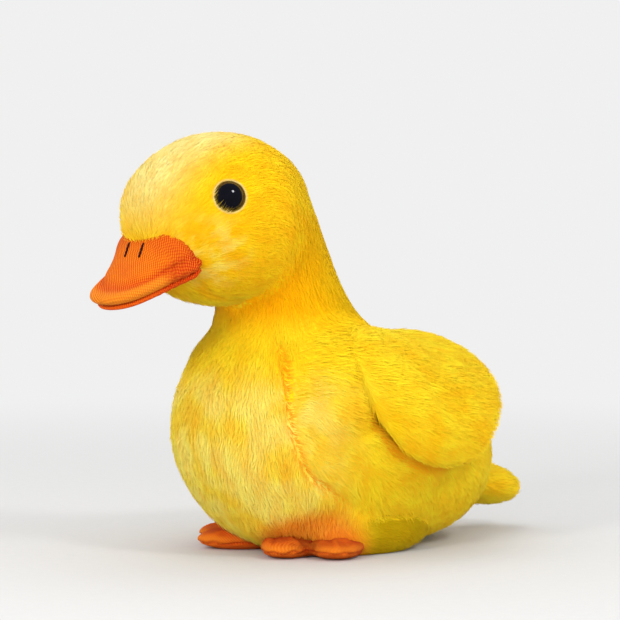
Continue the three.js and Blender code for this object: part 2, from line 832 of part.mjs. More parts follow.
// A point of the wing: t along it, an angle round the body, and a height out from the body's surface.
function wingPoint(t, angle, out) {
  const y = wingFrontY + wingLength * t;
  const along = THREE.MathUtils.clamp((y - torsoFrontY) / torsoLength, 0.02, 0.98);
  const drawn = 2 * Math.sqrt(along * (1 - along));
  const away = wingStandoff * standoff(t);
  const wide = (torsoWidth / 2) * torsoSide(along) * drawn + away;
  const high = (torsoHeight / 2) * torsoTop(along) * drawn + away;
  const power = 1 / torsoFullnessShare;
  const cos = signedPower(Math.cos(angle), power);
  const sin = signedPower(Math.sin(angle), power);
  const normal = new THREE.Vector2(Math.cos(angle) / wide, Math.sin(angle) / high).normalize();
  const middle = torsoHeight * torsoCentre(along) + torsoLift;
  return new THREE.Vector3(wide * cos + normal.x * out, y, middle + high * sin + normal.y * out);
}

// The wing as a closed form. Each ring runs round its flat section: across by angle, and out by outAt.
// An inset makes it smaller all round; a spread above 1 makes its plan larger.
function wingForm(inset, spread, outAt) {
  const rings = 9;
  const sides = 14;
  const points = [];
  for (let i = 0; i <= rings; i += 1) {
    const turn = (Math.PI * i) / rings;
    const swell = Math.sin(turn);
    const t = 0.5 - (Math.cos(turn) / 2) * (spread - (2 * inset) / wingLength);
    const count = i === 0 || i === rings ? 1 : sides;
    for (let k = 0; k < count; k += 1) {
      const angle = (2 * Math.PI * k) / sides;
      const edge = Math.cos(angle) > 0 ? wingUpper(t) : wingLower(t);
      const reach = (wingHalfAngle * edge * spread - (2 * inset) / torsoHeight) * swell;
      points.push(wingPoint(t, wingRaise * wingMiddle(t) + reach * Math.cos(angle), outAt(angle, swell)));
    }
  }
  return skinned(points, rings, sides);
}

const wingCore = seamGap * 2 + wingThickness / 2; // the height of its middle off the body
const wingBody = (inset) =>
  solidOf(
    wingForm(inset, 1, (angle, swell) => {
      const half = wingThickness / 2 - inset;
      return wingCore + half * Math.sqrt(swell) * Math.sin(angle);
    }),
  );
// All that lies on the body's side of the wing's middle, raised by a height.
const wingInnerSide = (raise) =>
  solidOf(wingForm(0, 1.15, (angle) => wingCore + raise + Math.min(Math.sin(angle), 0) * wingThickness));
const wingShell = wingBody(0).subtract(bodyKeepOut).subtract(wingBody(clothThickness));
const wingCover = largest(wingShell.subtract(wingInnerSide(seamGap / 2)));
const wingLining = largest(wingShell.intersect(wingInnerSide(-seamGap / 2)));
const wingWadding = largest(wingBody(stuffingDepth).subtract(bodySolid(stuffingDepth)));
addPair("wing_cover", wingCover, plush);
addPair("wing_lining", wingLining, plush);
addPair("wing_wadding", wingWadding, fibre);

// Feet, each a padded cloth shape with two toes, and the short legs behind them.

const toeRings = 6;
const toe = closedForm(
  (t) => ({
    centre: new THREE.Vector3(0, footLength * (0.5 - t), 0),
    side: new THREE.Vector3(toeWidth / 2, 0, 0),
    above: new THREE.Vector3(0, 0, footThickness / 2),
    below: new THREE.Vector3(0, 0, footThickness / 2),
  }),
  toeRings,
  10,
  footFullnessShare,
);
toe.translate(0, 0, seatLift(toe));
const toeShift = (toeWidth - toeOverlap) / 2;
// Copies of a form at both toes: side is 1 for the outer toe and -1 for the inner one.
const atToes = (form) =>
  [1, -1].map((side) =>
    form
      .clone()
      .rotateZ(side * toeSpread)
      .translate(side * toeShift, 0, 0)
      .rotateZ(footSplay)
      .translate(footOffset, footCentreY, 0),
  );
const toes = atToes(toe);
const footSolid = (distance) => solidOf(grown(toes[0], distance)).add(solidOf(grown(toes[1], distance)));
const toeStitchRoute = [0, 0.5, 1].map((t) => {
  const ahead = footLength / 2 - toeStitchInset - toeStitchLength * t;
  return new THREE.Vector3(
    footOffset + Math.sin(footSplay) * ahead,
    footCentreY - Math.cos(footSplay) * ahead,
    footThickness * toeStitchRiseShare,
  );
});
const toeStitch = (diameter) => solidOf(thread(toeStitchRoute, diameter, 3));
const footShell = footSolid(0)
  .intersect(aboveTable)
  .subtract(bodyKeepOut)
  .subtract(footSolid(-shortCloth))
  .subtract(toeStitch(threadDiameter + 2 * seamGap));
const footLayer = (low, high) =>
  boxSolid(
    new THREE.Vector3(-torsoWidth, -torsoLength, low),
    new THREE.Vector3(torsoWidth, torsoLength, high),
  );
const soleTop = footThickness * soleShare;
addPair("foot_top", largest(footShell.intersect(footLayer(soleTop + seamGap, footThickness * 2))), footCloth);
addPair("foot_sole", largest(footShell.intersect(footLayer(0, soleTop))), footCloth);
const footWadding = footSolid(-shortDepth)
  .subtract(bodyKeepOut)
  .subtract(toeStitch(threadDiameter + 2 * seamGap));
addPair("foot_wadding", largest(footWadding), fibre);
addPair("toe_stitch", largest(toeStitch(threadDiameter).subtract(bodySolid(0))), footThread);

const legLying = closedForm(
  (t) => ({
    centre: new THREE.Vector3(legOffset, legRearY - legLength * t, 0),
    side: new THREE.Vector3(legThickness / 2, 0, 0),
    above: new THREE.Vector3(0, 0, legThickness / 2),
    below: new THREE.Vector3(0, 0, legThickness / 2),
  }),
  6,
  10,
);
const legForm = legLying.translate(0, 0, seatLift(legLying));
// The shaft under a toe's widest line, which stays free so that the foot can droop through it.
const toePlan = new THREE.Shape();
toePlan.absellipse(0, 0, toeWidth / 2 + seamGap, footLength / 2 + seamGap, 0, 2 * Math.PI);
const toeShaft = new THREE.ExtrudeGeometry(toePlan, {
  depth: overrun + footThickness / 2,
  curveSegments: toeRings,
  bevelEnabled: false,
});
toeShaft.translate(0, 0, -overrun - flatDepth);
const [outerShaft, innerShaft] = atToes(toeShaft).map(solidOf);
const legRoom = (solid) =>
  solid
    .intersect(aboveTable)
    .subtract(bodyKeepOut)
    .subtract(footSolid(seamGap))
    .subtract(outerShaft)
    .subtract(innerShaft);
addPair(
  "leg_cover",
  largest(legRoom(solidOf(legForm)).subtract(solidOf(grown(legForm, -clothThickness)))),
  plush,
);
addPair("leg_wadding", largest(legRoom(solidOf(grown(legForm, -stuffingDepth)))), fibre);

// The origin goes to the table under the middle of the toy's box.
const box = new THREE.Box3().setFromObject(toy);
const middle = box.getCenter(new THREE.Vector3());
toy.position.set(-middle.x, -middle.y, -box.min.z);

export default toy;
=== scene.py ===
# %% [markdown]
# A stuffed plush duckling that sits on its belly. The CAD model says where each piece lies and how it
# moves, so this lesson gives every piece its finish: combed pile over stuffed cloth, a ribbed orange bill
# and feet, glossy button eyes and sewing thread. Each shape is a formula on a grid of numpy arrays, in
# metres.

import math

import bpy
import numpy as np
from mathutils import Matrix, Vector


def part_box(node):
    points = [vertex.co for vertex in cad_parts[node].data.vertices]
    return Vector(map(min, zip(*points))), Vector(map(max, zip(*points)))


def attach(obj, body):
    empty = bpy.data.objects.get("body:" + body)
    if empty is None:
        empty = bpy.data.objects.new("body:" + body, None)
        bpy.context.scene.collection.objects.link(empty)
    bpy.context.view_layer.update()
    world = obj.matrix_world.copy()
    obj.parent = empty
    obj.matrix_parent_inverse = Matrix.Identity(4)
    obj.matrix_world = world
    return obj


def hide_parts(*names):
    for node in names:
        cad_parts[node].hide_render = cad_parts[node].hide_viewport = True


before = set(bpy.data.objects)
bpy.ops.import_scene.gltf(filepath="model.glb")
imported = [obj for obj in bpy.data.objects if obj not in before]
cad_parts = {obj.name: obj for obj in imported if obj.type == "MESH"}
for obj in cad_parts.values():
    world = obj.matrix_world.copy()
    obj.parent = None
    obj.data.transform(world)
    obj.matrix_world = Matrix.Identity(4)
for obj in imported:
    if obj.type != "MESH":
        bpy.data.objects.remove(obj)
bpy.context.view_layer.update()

# %% [markdown]
# The camera comes first, because it decides which details matter. It stands about level with the toy, in
# front of its left side, and far enough away that the near foot isn't drawn much larger than the far one.

# %% Camera
AZIMUTH, ELEVATION = math.radians(50), math.radians(3)
DISTANCE = 1.2  # from the toy
VIEW_WIDTH = 0.2418  # what the picture spans at the toy
SENSOR_WIDTH = 36  # of a full-frame camera, in millimetres
TARGET = Vector((-0.0063, 0.001, 0.0916))  # the place in the middle of the picture

back = Vector((
    math.sin(AZIMUTH) * math.cos(ELEVATION),
    -math.cos(AZIMUTH) * math.cos(ELEVATION),
    math.sin(ELEVATION),
))
lens = bpy.data.cameras.new("camera")
lens.sensor_width = SENSOR_WIDTH
lens.lens = SENSOR_WIDTH * DISTANCE / VIEW_WIDTH
camera = bpy.data.objects.new("camera", lens)
bpy.context.scene.collection.objects.link(camera)
camera.location = TARGET + back * DISTANCE
camera.rotation_mode = "QUATERNION"
camera.rotation_quaternion = (-back).to_track_quat("-Z", "Y")
bpy.context.scene.camera = camera
print("lens", round(lens.lens, 1), "mm")

# %% [markdown]
# Soft toys are drawn with curves through a few given places. Bezier curves would need two handles for
# each of them. A cubic on each span, whose slopes come from the places next to it, passes through all of
# them and never kinks, so a form needs only a handful of rows.

# %% Curves
MM = 0.001


def curve(rows, scale=1.0):
    """A smooth curve through rows of (place, value): a cubic on each span, with slopes taken from the
    neighbours."""
    places, values = np.array(rows, float).T
    values = values * scale
    last = len(places) - 1
    before = np.maximum(np.arange(last + 1) - 1, 0)
    after = np.minimum(np.arange(last + 1) + 1, last)
    slopes = (values[after] - values[before]) / (places[after] - places[before])

    def at(t):
        t = np.asarray(t, float)
        i = np.searchsorted(places[1:-1], t, side="left")
        span = places[i + 1] - places[i]
        u = (t - places[i]) / span
        rise = u * u * (3 - 2 * u)
        bend = span * u * (1 - u) * (slopes[i] * (1 - u) - slopes[i + 1] * u)
        return values[i] + (values[i + 1] - values[i]) * rise + bend

    return at


def steady(value):
    """A curve that keeps one value."""
    return lambda t: np.full(np.shape(t), float(value))


def unit(vectors):
    """Vectors made one long."""
    return vectors / np.maximum(np.linalg.norm(vectors, axis=-1, keepdims=True), 1e-12)


def smooth_step(low, high, value):
    """From 0 at low to 1 at high, level at both ends."""
    u = np.clip((value - low) / (high - low), 0.0, 1.0)
    return u * u * (3 - 2 * u)


def drawn_in(t):
    """How wide a form is at t along it, as a share of its widest: 2 * sqrt(t * (1 - t)), as on a circle."""
    return 2 * np.sqrt(np.clip(t * (1 - t), 0, 1))


print("a circle, drawn in from end to end:", drawn_in(np.linspace(0, 1, 5)).round(3))

# %% [markdown]
# Body, head, neck, bill, tail and legs are all stuffed forms of one kind: rings carried along a line, each
# ring a little squarer than an ellipse, drawn in towards both ends as a circle is. They could be sculpted,
# but a formula keeps the pattern's sizes. Read backwards, it also says whether any point lies inside the
# form, which later lets the forms flow into each other.

# %% Stuffed forms
class Form:
    """A stuffed form. A point lies at start + way * length * t + lift * offset(t), plus side * half width *
    cos and lift * above or below * sin, both times 2 * sqrt(t * (1 - t)), with the sine and cosine made
    squarer."""

    def __init__(self, start, way, length, lift, half, above, below, offset=None, fullness=1.0):
        self.start, self.way, self.lift = (np.array(v, float) for v in (start, way, lift))
        self.side = np.cross(self.way, self.lift)
        self.side = self.side * (1 if self.side.sum() > 0 else -1)
        self.length, self.half, self.above, self.below = length, half, above, below
        self.offset, self.fullness = offset or steady(0), fullness

    def point(self, t, angle, swell=None):
        """The surface at t along the form and an angle round it."""
        swell = drawn_in(t) if swell is None else swell
        across = np.sign(np.cos(angle)) * np.abs(np.cos(angle)) ** (1 / self.fullness) * swell
        up = np.sign(np.sin(angle)) * np.abs(np.sin(angle)) ** (1 / self.fullness) * swell
        high = np.where(up > 0, self.above(t), self.below(t)) * up + self.offset(t)
        middle = self.start + self.way * (self.length * t)[..., None]
        return middle + self.side * (self.half(t) * across)[..., None] + self.lift * high[..., None]

    def grid(self, rows, columns):
        """Points in rows from end to end, drawn together towards the ends, and columns round the form."""
        turn = np.linspace(0, np.pi, rows)[:, None]
        angle = np.linspace(0, 2 * np.pi, columns, endpoint=False)[None, :] - np.pi / 2
        t, angle = np.broadcast_arrays((1 - np.cos(turn)) / 2, angle)
        return self.point(t, angle, np.sin(turn) + 0 * angle)

    def level(self, places):
        """Under 1 inside the form, 1 on its surface, over 1 outside."""
        away = places - self.start
        t = away @ self.way / self.length
        held = np.clip(t, 0, 1)
        across = np.abs(away @ self.side / self.half(held))
        up = away @ self.lift - self.offset(held)
        up = np.abs(up / np.where(up > 0, self.above(held), self.below(held)))
        power = 2 * self.fullness
        return np.sqrt((across**power + up**power) ** (2 / power) + (2 * t - 1) ** 2)

    def gap(self, places):
        """The distance to the surface, negative inside: how far the level is from 1, over how fast it
        grows."""
        near = 0.3 * MM
        slopes = [self.level(places + near * e) - self.level(places - near * e) for e in np.eye(3)]
        steep = np.linalg.norm(slopes, axis=0) / (2 * near)
        return (self.level(places) - 1) / np.maximum(steep, 1e-6)


# %% [markdown]
# These are the sewing pattern's sizes, in real millimetres, as the CAD source has them. The rows after them
# are shares of those sizes, from the front of each form to its back, or from its foot to its top.

# %% Sizes of the large forms
HEAD_FRONT = -97.5 * MM  # in the pattern, before the toy was centred on the table
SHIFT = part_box("head_gusset")[0].y - HEAD_FRONT
X, Y, Z = np.eye(3)

TORSO_LENGTH, TORSO_WIDTH, TORSO_HEIGHT = 137.5 * MM, 92 * MM, 80 * MM
TORSO_FRONT = -68.5 * MM + SHIFT
TORSO_PRESS = 0.5 * MM  # how deep the belly is pressed flat on the table
torso = Form(
    start=(0, TORSO_FRONT, -TORSO_PRESS), way=Y, length=TORSO_LENGTH, lift=Z, fullness=1.05,
    offset=curve([(0, 0.62), (0.09, 0.59), (0.167, 0.575), (0.306, 0.56), (0.514, 0.525), (0.722, 0.475),
                  (0.861, 0.44), (1, 0.42)], TORSO_HEIGHT),
    half=curve([(0, 1.12), (0.09, 1.14), (0.167, 1.12), (0.306, 1.04), (0.514, 1.02), (0.722, 1.02),
                (0.861, 1.04), (1, 1.04)], TORSO_WIDTH / 2),
    above=curve([(0, 1.3), (0.09, 1.34), (0.167, 1.33), (0.306, 1.15), (0.514, 0.91), (0.722, 0.92),
                 (0.861, 0.92), (1, 0.92)], TORSO_HEIGHT / 2),
    below=curve([(0, 1.15), (0.09, 1.2), (0.167, 1.25), (0.306, 1.18), (0.514, 1.06), (0.722, 1.04),
                 (0.861, 1.06), (1, 1.05)], TORSO_HEIGHT / 2),
)

NECK_HEIGHT, NECK_WIDTH, NECK_FOOT, NECK_LEAN = 84 * MM, 54 * MM, 58 * MM, 38 * MM
NECK_ROOT = 12 * MM  # how far the neck's tube runs on inside the torso
neck_share = curve([(0, 1.3), (0.083, 1.42), (0.2, 1.38), (0.33, 1.1), (0.45, 0.94), (0.6, 0.91), (0.8, 1),
                    (1, 1.1)])
lean_share = curve([(0, 0), (0.3, 0.13), (0.45, 0.255), (0.62, 0.455), (0.8, 0.71), (1, 1)])


def on_neck(t):
    """The share of the visible neck's height at a share of the whole tube."""
    return np.maximum((t * (NECK_HEIGHT + NECK_ROOT) - NECK_ROOT) / NECK_HEIGHT, 0)


def neck_radius(t):
    """Half the neck's width. A form is drawn in towards its ends by 2 * sqrt(t * (1 - t)). Here that is
    exchanged for sqrt(1 - |2 * t - 1| ** power), so that the neck stays a tube almost to its hidden
    ends."""
    t = np.clip(t, 1e-4, 1 - 1e-4)
    drawn = 1 - np.abs(2 * t - 1) ** np.where(t > 0.5, 8, 24)
    return NECK_WIDTH / 2 * neck_share(on_neck(t)) * np.sqrt(drawn / (4 * t * (1 - t)))


NECK_Y = -17 * MM + SHIFT  # the middle of its foot
neck = Form(
    start=(0, NECK_Y, NECK_FOOT - NECK_ROOT), way=Z, length=NECK_HEIGHT + NECK_ROOT, lift=Y,
    half=neck_radius, above=neck_radius, below=neck_radius,
    offset=lambda t: -NECK_LEAN * lean_share(on_neck(t)),
)

HEAD_LENGTH, HEAD_WIDTH, HEAD_HEIGHT, HEAD_MIDDLE = 76 * MM, 63 * MM, 67 * MM, 130 * MM
head = Form(
    start=(0, HEAD_FRONT + SHIFT, HEAD_MIDDLE), way=Y, length=HEAD_LENGTH, lift=Z, fullness=1.05,
    half=curve([(0, 0.9), (0.2, 0.95), (0.5, 1.03), (0.75, 1.04), (1, 0.98)], HEAD_WIDTH / 2),
    above=curve([(0, 0.76), (0.15, 0.8), (0.3, 0.85), (0.5, 0.89), (0.8, 0.91), (1, 0.9)], HEAD_HEIGHT / 2),
    below=curve([(0, 0.98), (0.25, 1.0), (0.6, 1.02), (0.8, 1.0), (1, 1.0)], HEAD_HEIGHT / 2),
)

TAIL_FRONT, TAIL_MIDDLE = 51 * MM + SHIFT, 23 * MM
TAIL_LENGTH, TAIL_WIDTH, TAIL_THICK, TAIL_DROOP = 44 * MM, 27 * MM, 16 * MM, 7 * MM
tail = Form(
    start=(0, TAIL_FRONT, TAIL_MIDDLE), way=Y, length=TAIL_LENGTH, lift=Z, half=steady(TAIL_WIDTH / 2),
    above=steady(TAIL_THICK / 2), below=steady(TAIL_THICK / 2), offset=lambda t: -TAIL_DROOP * t,
)

LEG_START = 21 * MM + SHIFT  # its rear end
LEG_LENGTH, LEG_OFFSET, LEG_RADIUS = 52 * MM, 29 * MM, 10 * MM
LEG_PRESS = 1 * MM  # how deep a leg is pressed flat on the table
legs = {
    side: Form(
        start=(sign * LEG_OFFSET, LEG_START, LEG_RADIUS - LEG_PRESS), way=-Y, length=LEG_LENGTH, lift=Z,
        half=steady(LEG_RADIUS), above=steady(LEG_RADIUS), below=steady(LEG_RADIUS),
    )
    for side, sign in (("left", 1), ("right", -1))
}
FOOT_OFFSET, FOOT_Y, FOOT_THICK = 21.5 * MM, -29 * MM + SHIFT, 8.6 * MM
FOOT_MIDDLE = np.array([FOOT_OFFSET, FOOT_Y, FOOT_THICK / 2 - 0.6 * MM])  # of the left foot

for name, form in {"torso": torso, "neck": neck, "head": head, "tail": tail, "leg": legs["left"]}.items():
    places = form.grid(24, 36).reshape(-1, 3)
    print(name, "spans", ((places.max(0) - places.min(0)) / MM).round(1), "mm")

# %% [markdown]
# Where stuffed parts meet, cloth bridges the corner in a soft hollow. A Boolean union would leave a sharp
# corner there, and a remesh would blur the seams. A smooth minimum of the distances to the forms has such a
# hollow, and each skin is moved out along its own normals until it lies on that shared surface.

# %% Forms that flow into each other
HOLLOW = 7 * MM  # how soft the hollow is where the torso meets the neck, the tail and the wings' roots
# Along the toy, from where to where the head's rim grows softer, and the legs melt into the belly.
NAPE, THIGH = (-62 * MM + SHIFT, -30 * MM + SHIFT), (4 * MM, -12 * MM)


def joined(first, second, softness):
    """The smaller of two distances, rounded off where they differ by less than the softness."""
    share = np.clip(0.5 + 0.5 * (second - first) / softness, 0, 1)
    return second + (first - second) * share - softness * share * (1 - share)


def body_gap(places):
    """The distance to the whole stuffed body: torso, neck, head, tail and legs."""
    found = joined(torso.gap(places), neck.gap(places), HOLLOW)
    # The head's lower rim stays crisp at the throat, and is softer at the nape.
    nape = smooth_step(*NAPE, places[..., 1])
    found = joined(found, head.gap(places), (3 + 3 * nape) * MM)
    found = joined(found, tail.gap(places), HOLLOW)
    # A leg melts into the belly in front, and stays a lump of its own behind.
    thigh = smooth_step(*THIGH, places[..., 1])
    for leg in legs.values():
        found = joined(found, leg.gap(places), (1 + 9 * thigh) * MM)
    return found


def settled(places, normals, gap, most, rounds=6):
    """Places moved out along their normals, by at most the given distance, until the gap there is zero."""
    out = np.zeros(places.shape[:-1])
    for _ in range(rounds):
        out = np.clip(out - gap(places + normals * out[..., None]), 0, most)
    return places + normals * out[..., None]


def grid_normals(grid):
    """Outward normals of a closed grid: the cross product of the steps along its rows and round its
    columns."""
    down = np.gradient(grid, axis=0)
    round_ = np.roll(grid, -1, axis=1) - np.roll(grid, 1, axis=1)
    normals = unit(np.cross(down, round_))
    normals[0], normals[-1] = unit(normals[1].mean(0)), unit(normals[-2].mean(0))
    outwards = ((grid - grid.mean((0, 1))) * normals).sum() > 0
    return normals if outwards else -normals


deepest = body_gap(torso.grid(24, 36)).min()
print("the torso's skin lies up to", round(float(-deepest / MM)), "mm inside the joined body, under the neck")

# %% [markdown]
# The panels are sewn with seams that draw the cloth in. A cloth simulation of sewn panels would find such
# dents slowly, and move the form away from its sizes. So each body seam is drawn in side view, as one line
# from the collar down the breast and back to the tail, and pressed into the skin as a narrow groove.

# %% Seams
SIDE_SEAM_SHARES = [
    (0.2, 1.3), (0.165, 1.05), (0.135, 0.81), (0.131, 0.61), (0.172, 0.43), (0.247, 0.33), (0.327, 0.245),
    (0.41, 0.17), (0.5, 0.13), (0.72, 0.125), (0.86, 0.19), (0.98, 0.31), (1.11, 0.43),
]  # shares of the torso's length and height


def smooth_line(points, steps):
    """A smooth line through points: each coordinate is a curve over the points' numbers."""
    points = np.array(points, float)
    numbers = np.arange(len(points))
    t = np.linspace(0, len(points) - 1, steps)
    return np.stack([curve(np.stack([numbers, column], 1))(t) for column in points.T], -1)


COLLAR = 1.05 * TORSO_HEIGHT  # the seam between the body panels and the neck sleeve
side_seam = smooth_line(SIDE_SEAM_SHARES, 160) * (TORSO_LENGTH, TORSO_HEIGHT) + (TORSO_FRONT, 0)
CHUNK = 20000  # places that are worked on at a time, to keep within the memory


def in_chunks(places):
    """The places' numbers, in chunks."""
    return np.array_split(np.arange(len(places)), max(1, len(places) // CHUNK))


def beside(line, flat):
    """How far flat places lie from a line of points, positive on the left of its way."""
    shape, flat = flat.shape[:-1], flat.reshape(-1, 2)
    way = unit(np.gradient(line, axis=0))
    found = np.empty(len(flat))
    for part in in_chunks(flat):
        away = flat[part, None] - line[None]
        near = (away**2).sum(-1).argmin(1)
        step = away[np.arange(len(part)), near]
        turn = way[near, 0] * step[:, 1] - way[near, 1] * step[:, 0]
        found[part] = np.sign(turn) * np.linalg.norm(step, axis=1)
    return found.reshape(shape)


def seam_side(places):
    """Positive on the side panels, negative on the breast and belly, by the distance to the side seam."""
    return beside(side_seam, places[..., 1:])


def groove(distance, width, depth):
    """How deep a seam presses the cloth in: a bell curve over the distance to it."""
    return depth * np.exp(-((distance / width) ** 2))


seam_steps = np.linalg.norm(np.diff(side_seam, axis=0), axis=1)
print("side seam", round(float(seam_steps.sum() / MM)), "mm long in side view")

# %% [markdown]
# Meshes could be built face by face, but filled from whole arrays they take a moment even for a million
# points. A closed grid has one point at each end, and its columns run round and meet, so that the skin has
# no gap.

# %% Meshes from arrays
def put(name, places, faces, cloth=None):
    """A smooth mesh object from points and arrays of faces. Cloth gives each face corner its place on flat
    cloth."""
    mesh = bpy.data.meshes.new(name)
    sizes = np.concatenate([np.full(len(f), f.shape[1]) for f in faces])
    corners = np.concatenate([f.reshape(-1) for f in faces]).astype(np.int32)
    mesh.vertices.add(len(places))
    mesh.vertices.foreach_set("co", places.astype(np.float32).reshape(-1))
    mesh.loops.add(len(corners))
    mesh.loops.foreach_set("vertex_index", corners)
    mesh.polygons.add(len(sizes))
    starts = np.concatenate([[0], np.cumsum(sizes)[:-1]]).astype(np.int32)
    mesh.polygons.foreach_set("loop_start", starts)
    mesh.update(calc_edges=True)
    mesh.shade_smooth()
    if cloth is not None:
        corners_on_cloth = np.concatenate([c.reshape(-1, 2) for c in cloth]).astype(np.float32)
        mesh.uv_layers.new(name="Cloth").data.foreach_set("uv", corners_on_cloth.reshape(-1))
    piece = bpy.data.objects.new(name, mesh)
    bpy.context.scene.collection.objects.link(piece)
    return piece


def give(piece, label, values):
    """Gives each point of a piece a value, under a label that its material reads."""
    held = piece.data.attributes.new(label, "FLOAT", "POINT")
    held.data.foreach_set("value", values.astype(np.float32))


def closed_skin(name, grid):
    """A closed skin over a grid whose first and last rows are single points. Its cloth is measured along
    the grid's rows and columns, in metres."""
    rows, columns = grid.shape[:2]
    places = np.concatenate([grid[0, :1], grid[1:-1].reshape(-1, 3), grid[-1, :1]])
    number = np.arange(1, 1 + (rows - 2) * columns).reshape(rows - 2, columns)
    after = np.roll(number, -1, axis=1)
    last = len(places) - 1
    quads = np.stack([number[:-1], after[:-1], after[1:], number[1:]], -1).reshape(-1, 4)
    first_cap = np.stack([np.zeros(columns, int), after[0], number[0]], -1)
    last_cap = np.stack([number[-1], after[-1], np.full(columns, last)], -1)
    across = np.linalg.norm(np.roll(grid, -1, 1) - grid, axis=-1)
    across = np.concatenate([np.zeros((rows, 1)), np.cumsum(across, 1)], 1)
    across -= across[:, -1:] / 2
    along = np.concatenate([[0], np.cumsum(np.linalg.norm(np.diff(grid, axis=0), axis=-1).mean(1))])
    flat = np.stack([across, np.broadcast_to(along[:, None], across.shape)], -1)
    a, b, c, d = flat[1:-2, :-1], flat[1:-2, 1:], flat[2:-1, 1:], flat[2:-1, :-1]
    cloth = [
        np.stack([a, b, c, d], -2),
        np.stack([(flat[0, :-1] + flat[0, 1:]) / 2, flat[1, 1:], flat[1, :-1]], -2),
        np.stack([flat[-2, :-1], flat[-2, 1:], (flat[-1, :-1] + flat[-1, 1:]) / 2], -2),
    ]
    faces = [quads, first_cap, last_cap]
    outwards = grid_normals(grid)
    middle = rows // 2
    step = np.cross(grid[middle, 1] - grid[middle, 0], grid[middle + 1, 0] - grid[middle, 0])
    if step @ outwards[middle, 0] < 0:
        faces, cloth = [f[:, ::-1] for f in faces], [c[..., ::-1, :] for c in cloth]
    return put(name, places, faces, cloth)


rows, columns, _ = head.grid(96, 144).shape
print("a closed skin over the head's grid has", (rows - 2) * columns + 2, "points")

# %% [markdown]
# A material could be a web of nodes linked one by one, but it is easier to read as sums. This small class
# wraps a socket, so that plain arithmetic on values adds the Math nodes.

# %% Values as expressions
class Value:
    """A shader socket that adds Math nodes when it is added, multiplied and so on."""

    def __init__(self, paint, socket):
        self.paint, self.socket = paint, socket

    def math(self, operation, *others):
        inputs = dict(enumerate((self, *others)))
        return self.paint.node("ShaderNodeMath", {"operation": operation}, inputs)

    def __add__(self, other):
        return self.math("ADD", other)

    def __sub__(self, other):
        return self.math("SUBTRACT", other)

    def __mul__(self, other):
        return self.math("MULTIPLY", other)

    def __rsub__(self, other):
        return self.math("MULTIPLY", -1).math("ADD", other)

    __radd__ = __add__
    __rmul__ = __mul__


def srgb(red, green, blue):
    """A colour as a picture shows it, from 0 to 255, in the linear light that shaders use."""
    shares = np.array([red, green, blue]) / 255
    linear = np.where(shares <= 0.04045, shares / 12.92, ((shares + 0.055) / 1.055) ** 2.4)
    return (*linear.tolist(), 1.0)


print("orange in linear light:", np.round(srgb(255, 128, 0), 3))

# %% [markdown]
# Cloth, pile, plastic and thread all reflect light by the same rules, so each is one Principled shader with
# its own roughness and colour. One method makes any node with its settings and inputs, and the others are
# named for what they do to a place, a value or a colour.

# %% Paint
class Paint:
    """A material with one Principled shader, and the means to build what feeds it."""

    def __init__(self, name, **constants):
        self.material = bpy.data.materials.new(name)
        self.material.use_nodes = True
        self.tree = self.material.node_tree
        self.shader = self.tree.nodes["Principled BSDF"]
        for socket, value in constants.items():
            self.shader.inputs[socket.replace("_", " ")].default_value = value

    def node(self, kind, settings=None, inputs=None, output=0):
        """A node of any kind: its settings first, then its sockets' values or links."""
        made = self.tree.nodes.new(kind)
        for name, value in (settings or {}).items():
            setattr(made, name, value)
        for name, value in (inputs or {}).items():
            if isinstance(value, Value):
                self.tree.links.new(value.socket, made.inputs[name])
            else:
                made.inputs[name].default_value = value
        return Value(self, made.outputs[output])

    def feed(self, socket, value):
        """Links a value to the shader."""
        self.tree.links.new(value.socket, self.shader.inputs[socket])

    def place(self):
        """The object's own coordinates, in metres."""
        return self.node("ShaderNodeTexCoord", output="Object")

    def combine(self, x, y, z):
        """A place from three coordinates."""
        return self.node("ShaderNodeCombineXYZ", inputs={0: x, 1: y, 2: z})

    def split(self, place):
        """The three coordinates of a place."""
        made = self.node("ShaderNodeSeparateXYZ", inputs={0: place}).socket.node
        return [Value(self, made.outputs[i]) for i in range(3)]

    def attribute(self, name):
        """A value that the mesh holds at each point."""
        return self.node("ShaderNodeAttribute", {"attribute_name": name}, output="Fac")

    def away(self, place, middle):
        """The distance from a middle, in metres."""
        inputs = {0: place, 1: middle.tolist()}
        return self.node("ShaderNodeVectorMath", {"operation": "DISTANCE"}, inputs, output="Value")

    def noise(self, place, size, detail=2.0, rough=0.5):
        """Noise from 0 to 1 whose patches are about as wide as the size in metres."""
        inputs = {"Vector": place, "Scale": 1 / size, "Detail": detail, "Roughness": rough}
        return self.node("ShaderNodeTexNoise", inputs=inputs)

    def step(self, low, high, value):
        """From 0 at low to 1 at high, level at both ends. Low may be above high."""
        inputs = {"Value": value, "From Min": low, "From Max": high}
        return self.node("ShaderNodeMapRange", {"interpolation_type": "SMOOTHSTEP"}, inputs)

    def mix(self, first, second, share):
        """One colour at share 0, the other at 1."""
        inputs = {0: share, 6: first, 7: second}
        return self.node("ShaderNodeMix", {"data_type": "RGBA"}, inputs, output=2)

    def tint(self, first, second, share=1.0):
        """A colour multiplied by another."""
        settings = {"data_type": "RGBA", "blend_type": "MULTIPLY"}
        return self.node("ShaderNodeMix", settings, {0: share, 6: first, 7: second}, output=2)

    def bump(self, height, depth):
        """Relief from a height between 0 and 1, with its depth in metres."""
        self.feed("Normal", self.node("ShaderNodeBump", inputs={"Height": height, "Distance": depth}))


print("paint offers", [name for name in vars(Paint) if not name.startswith("_")])
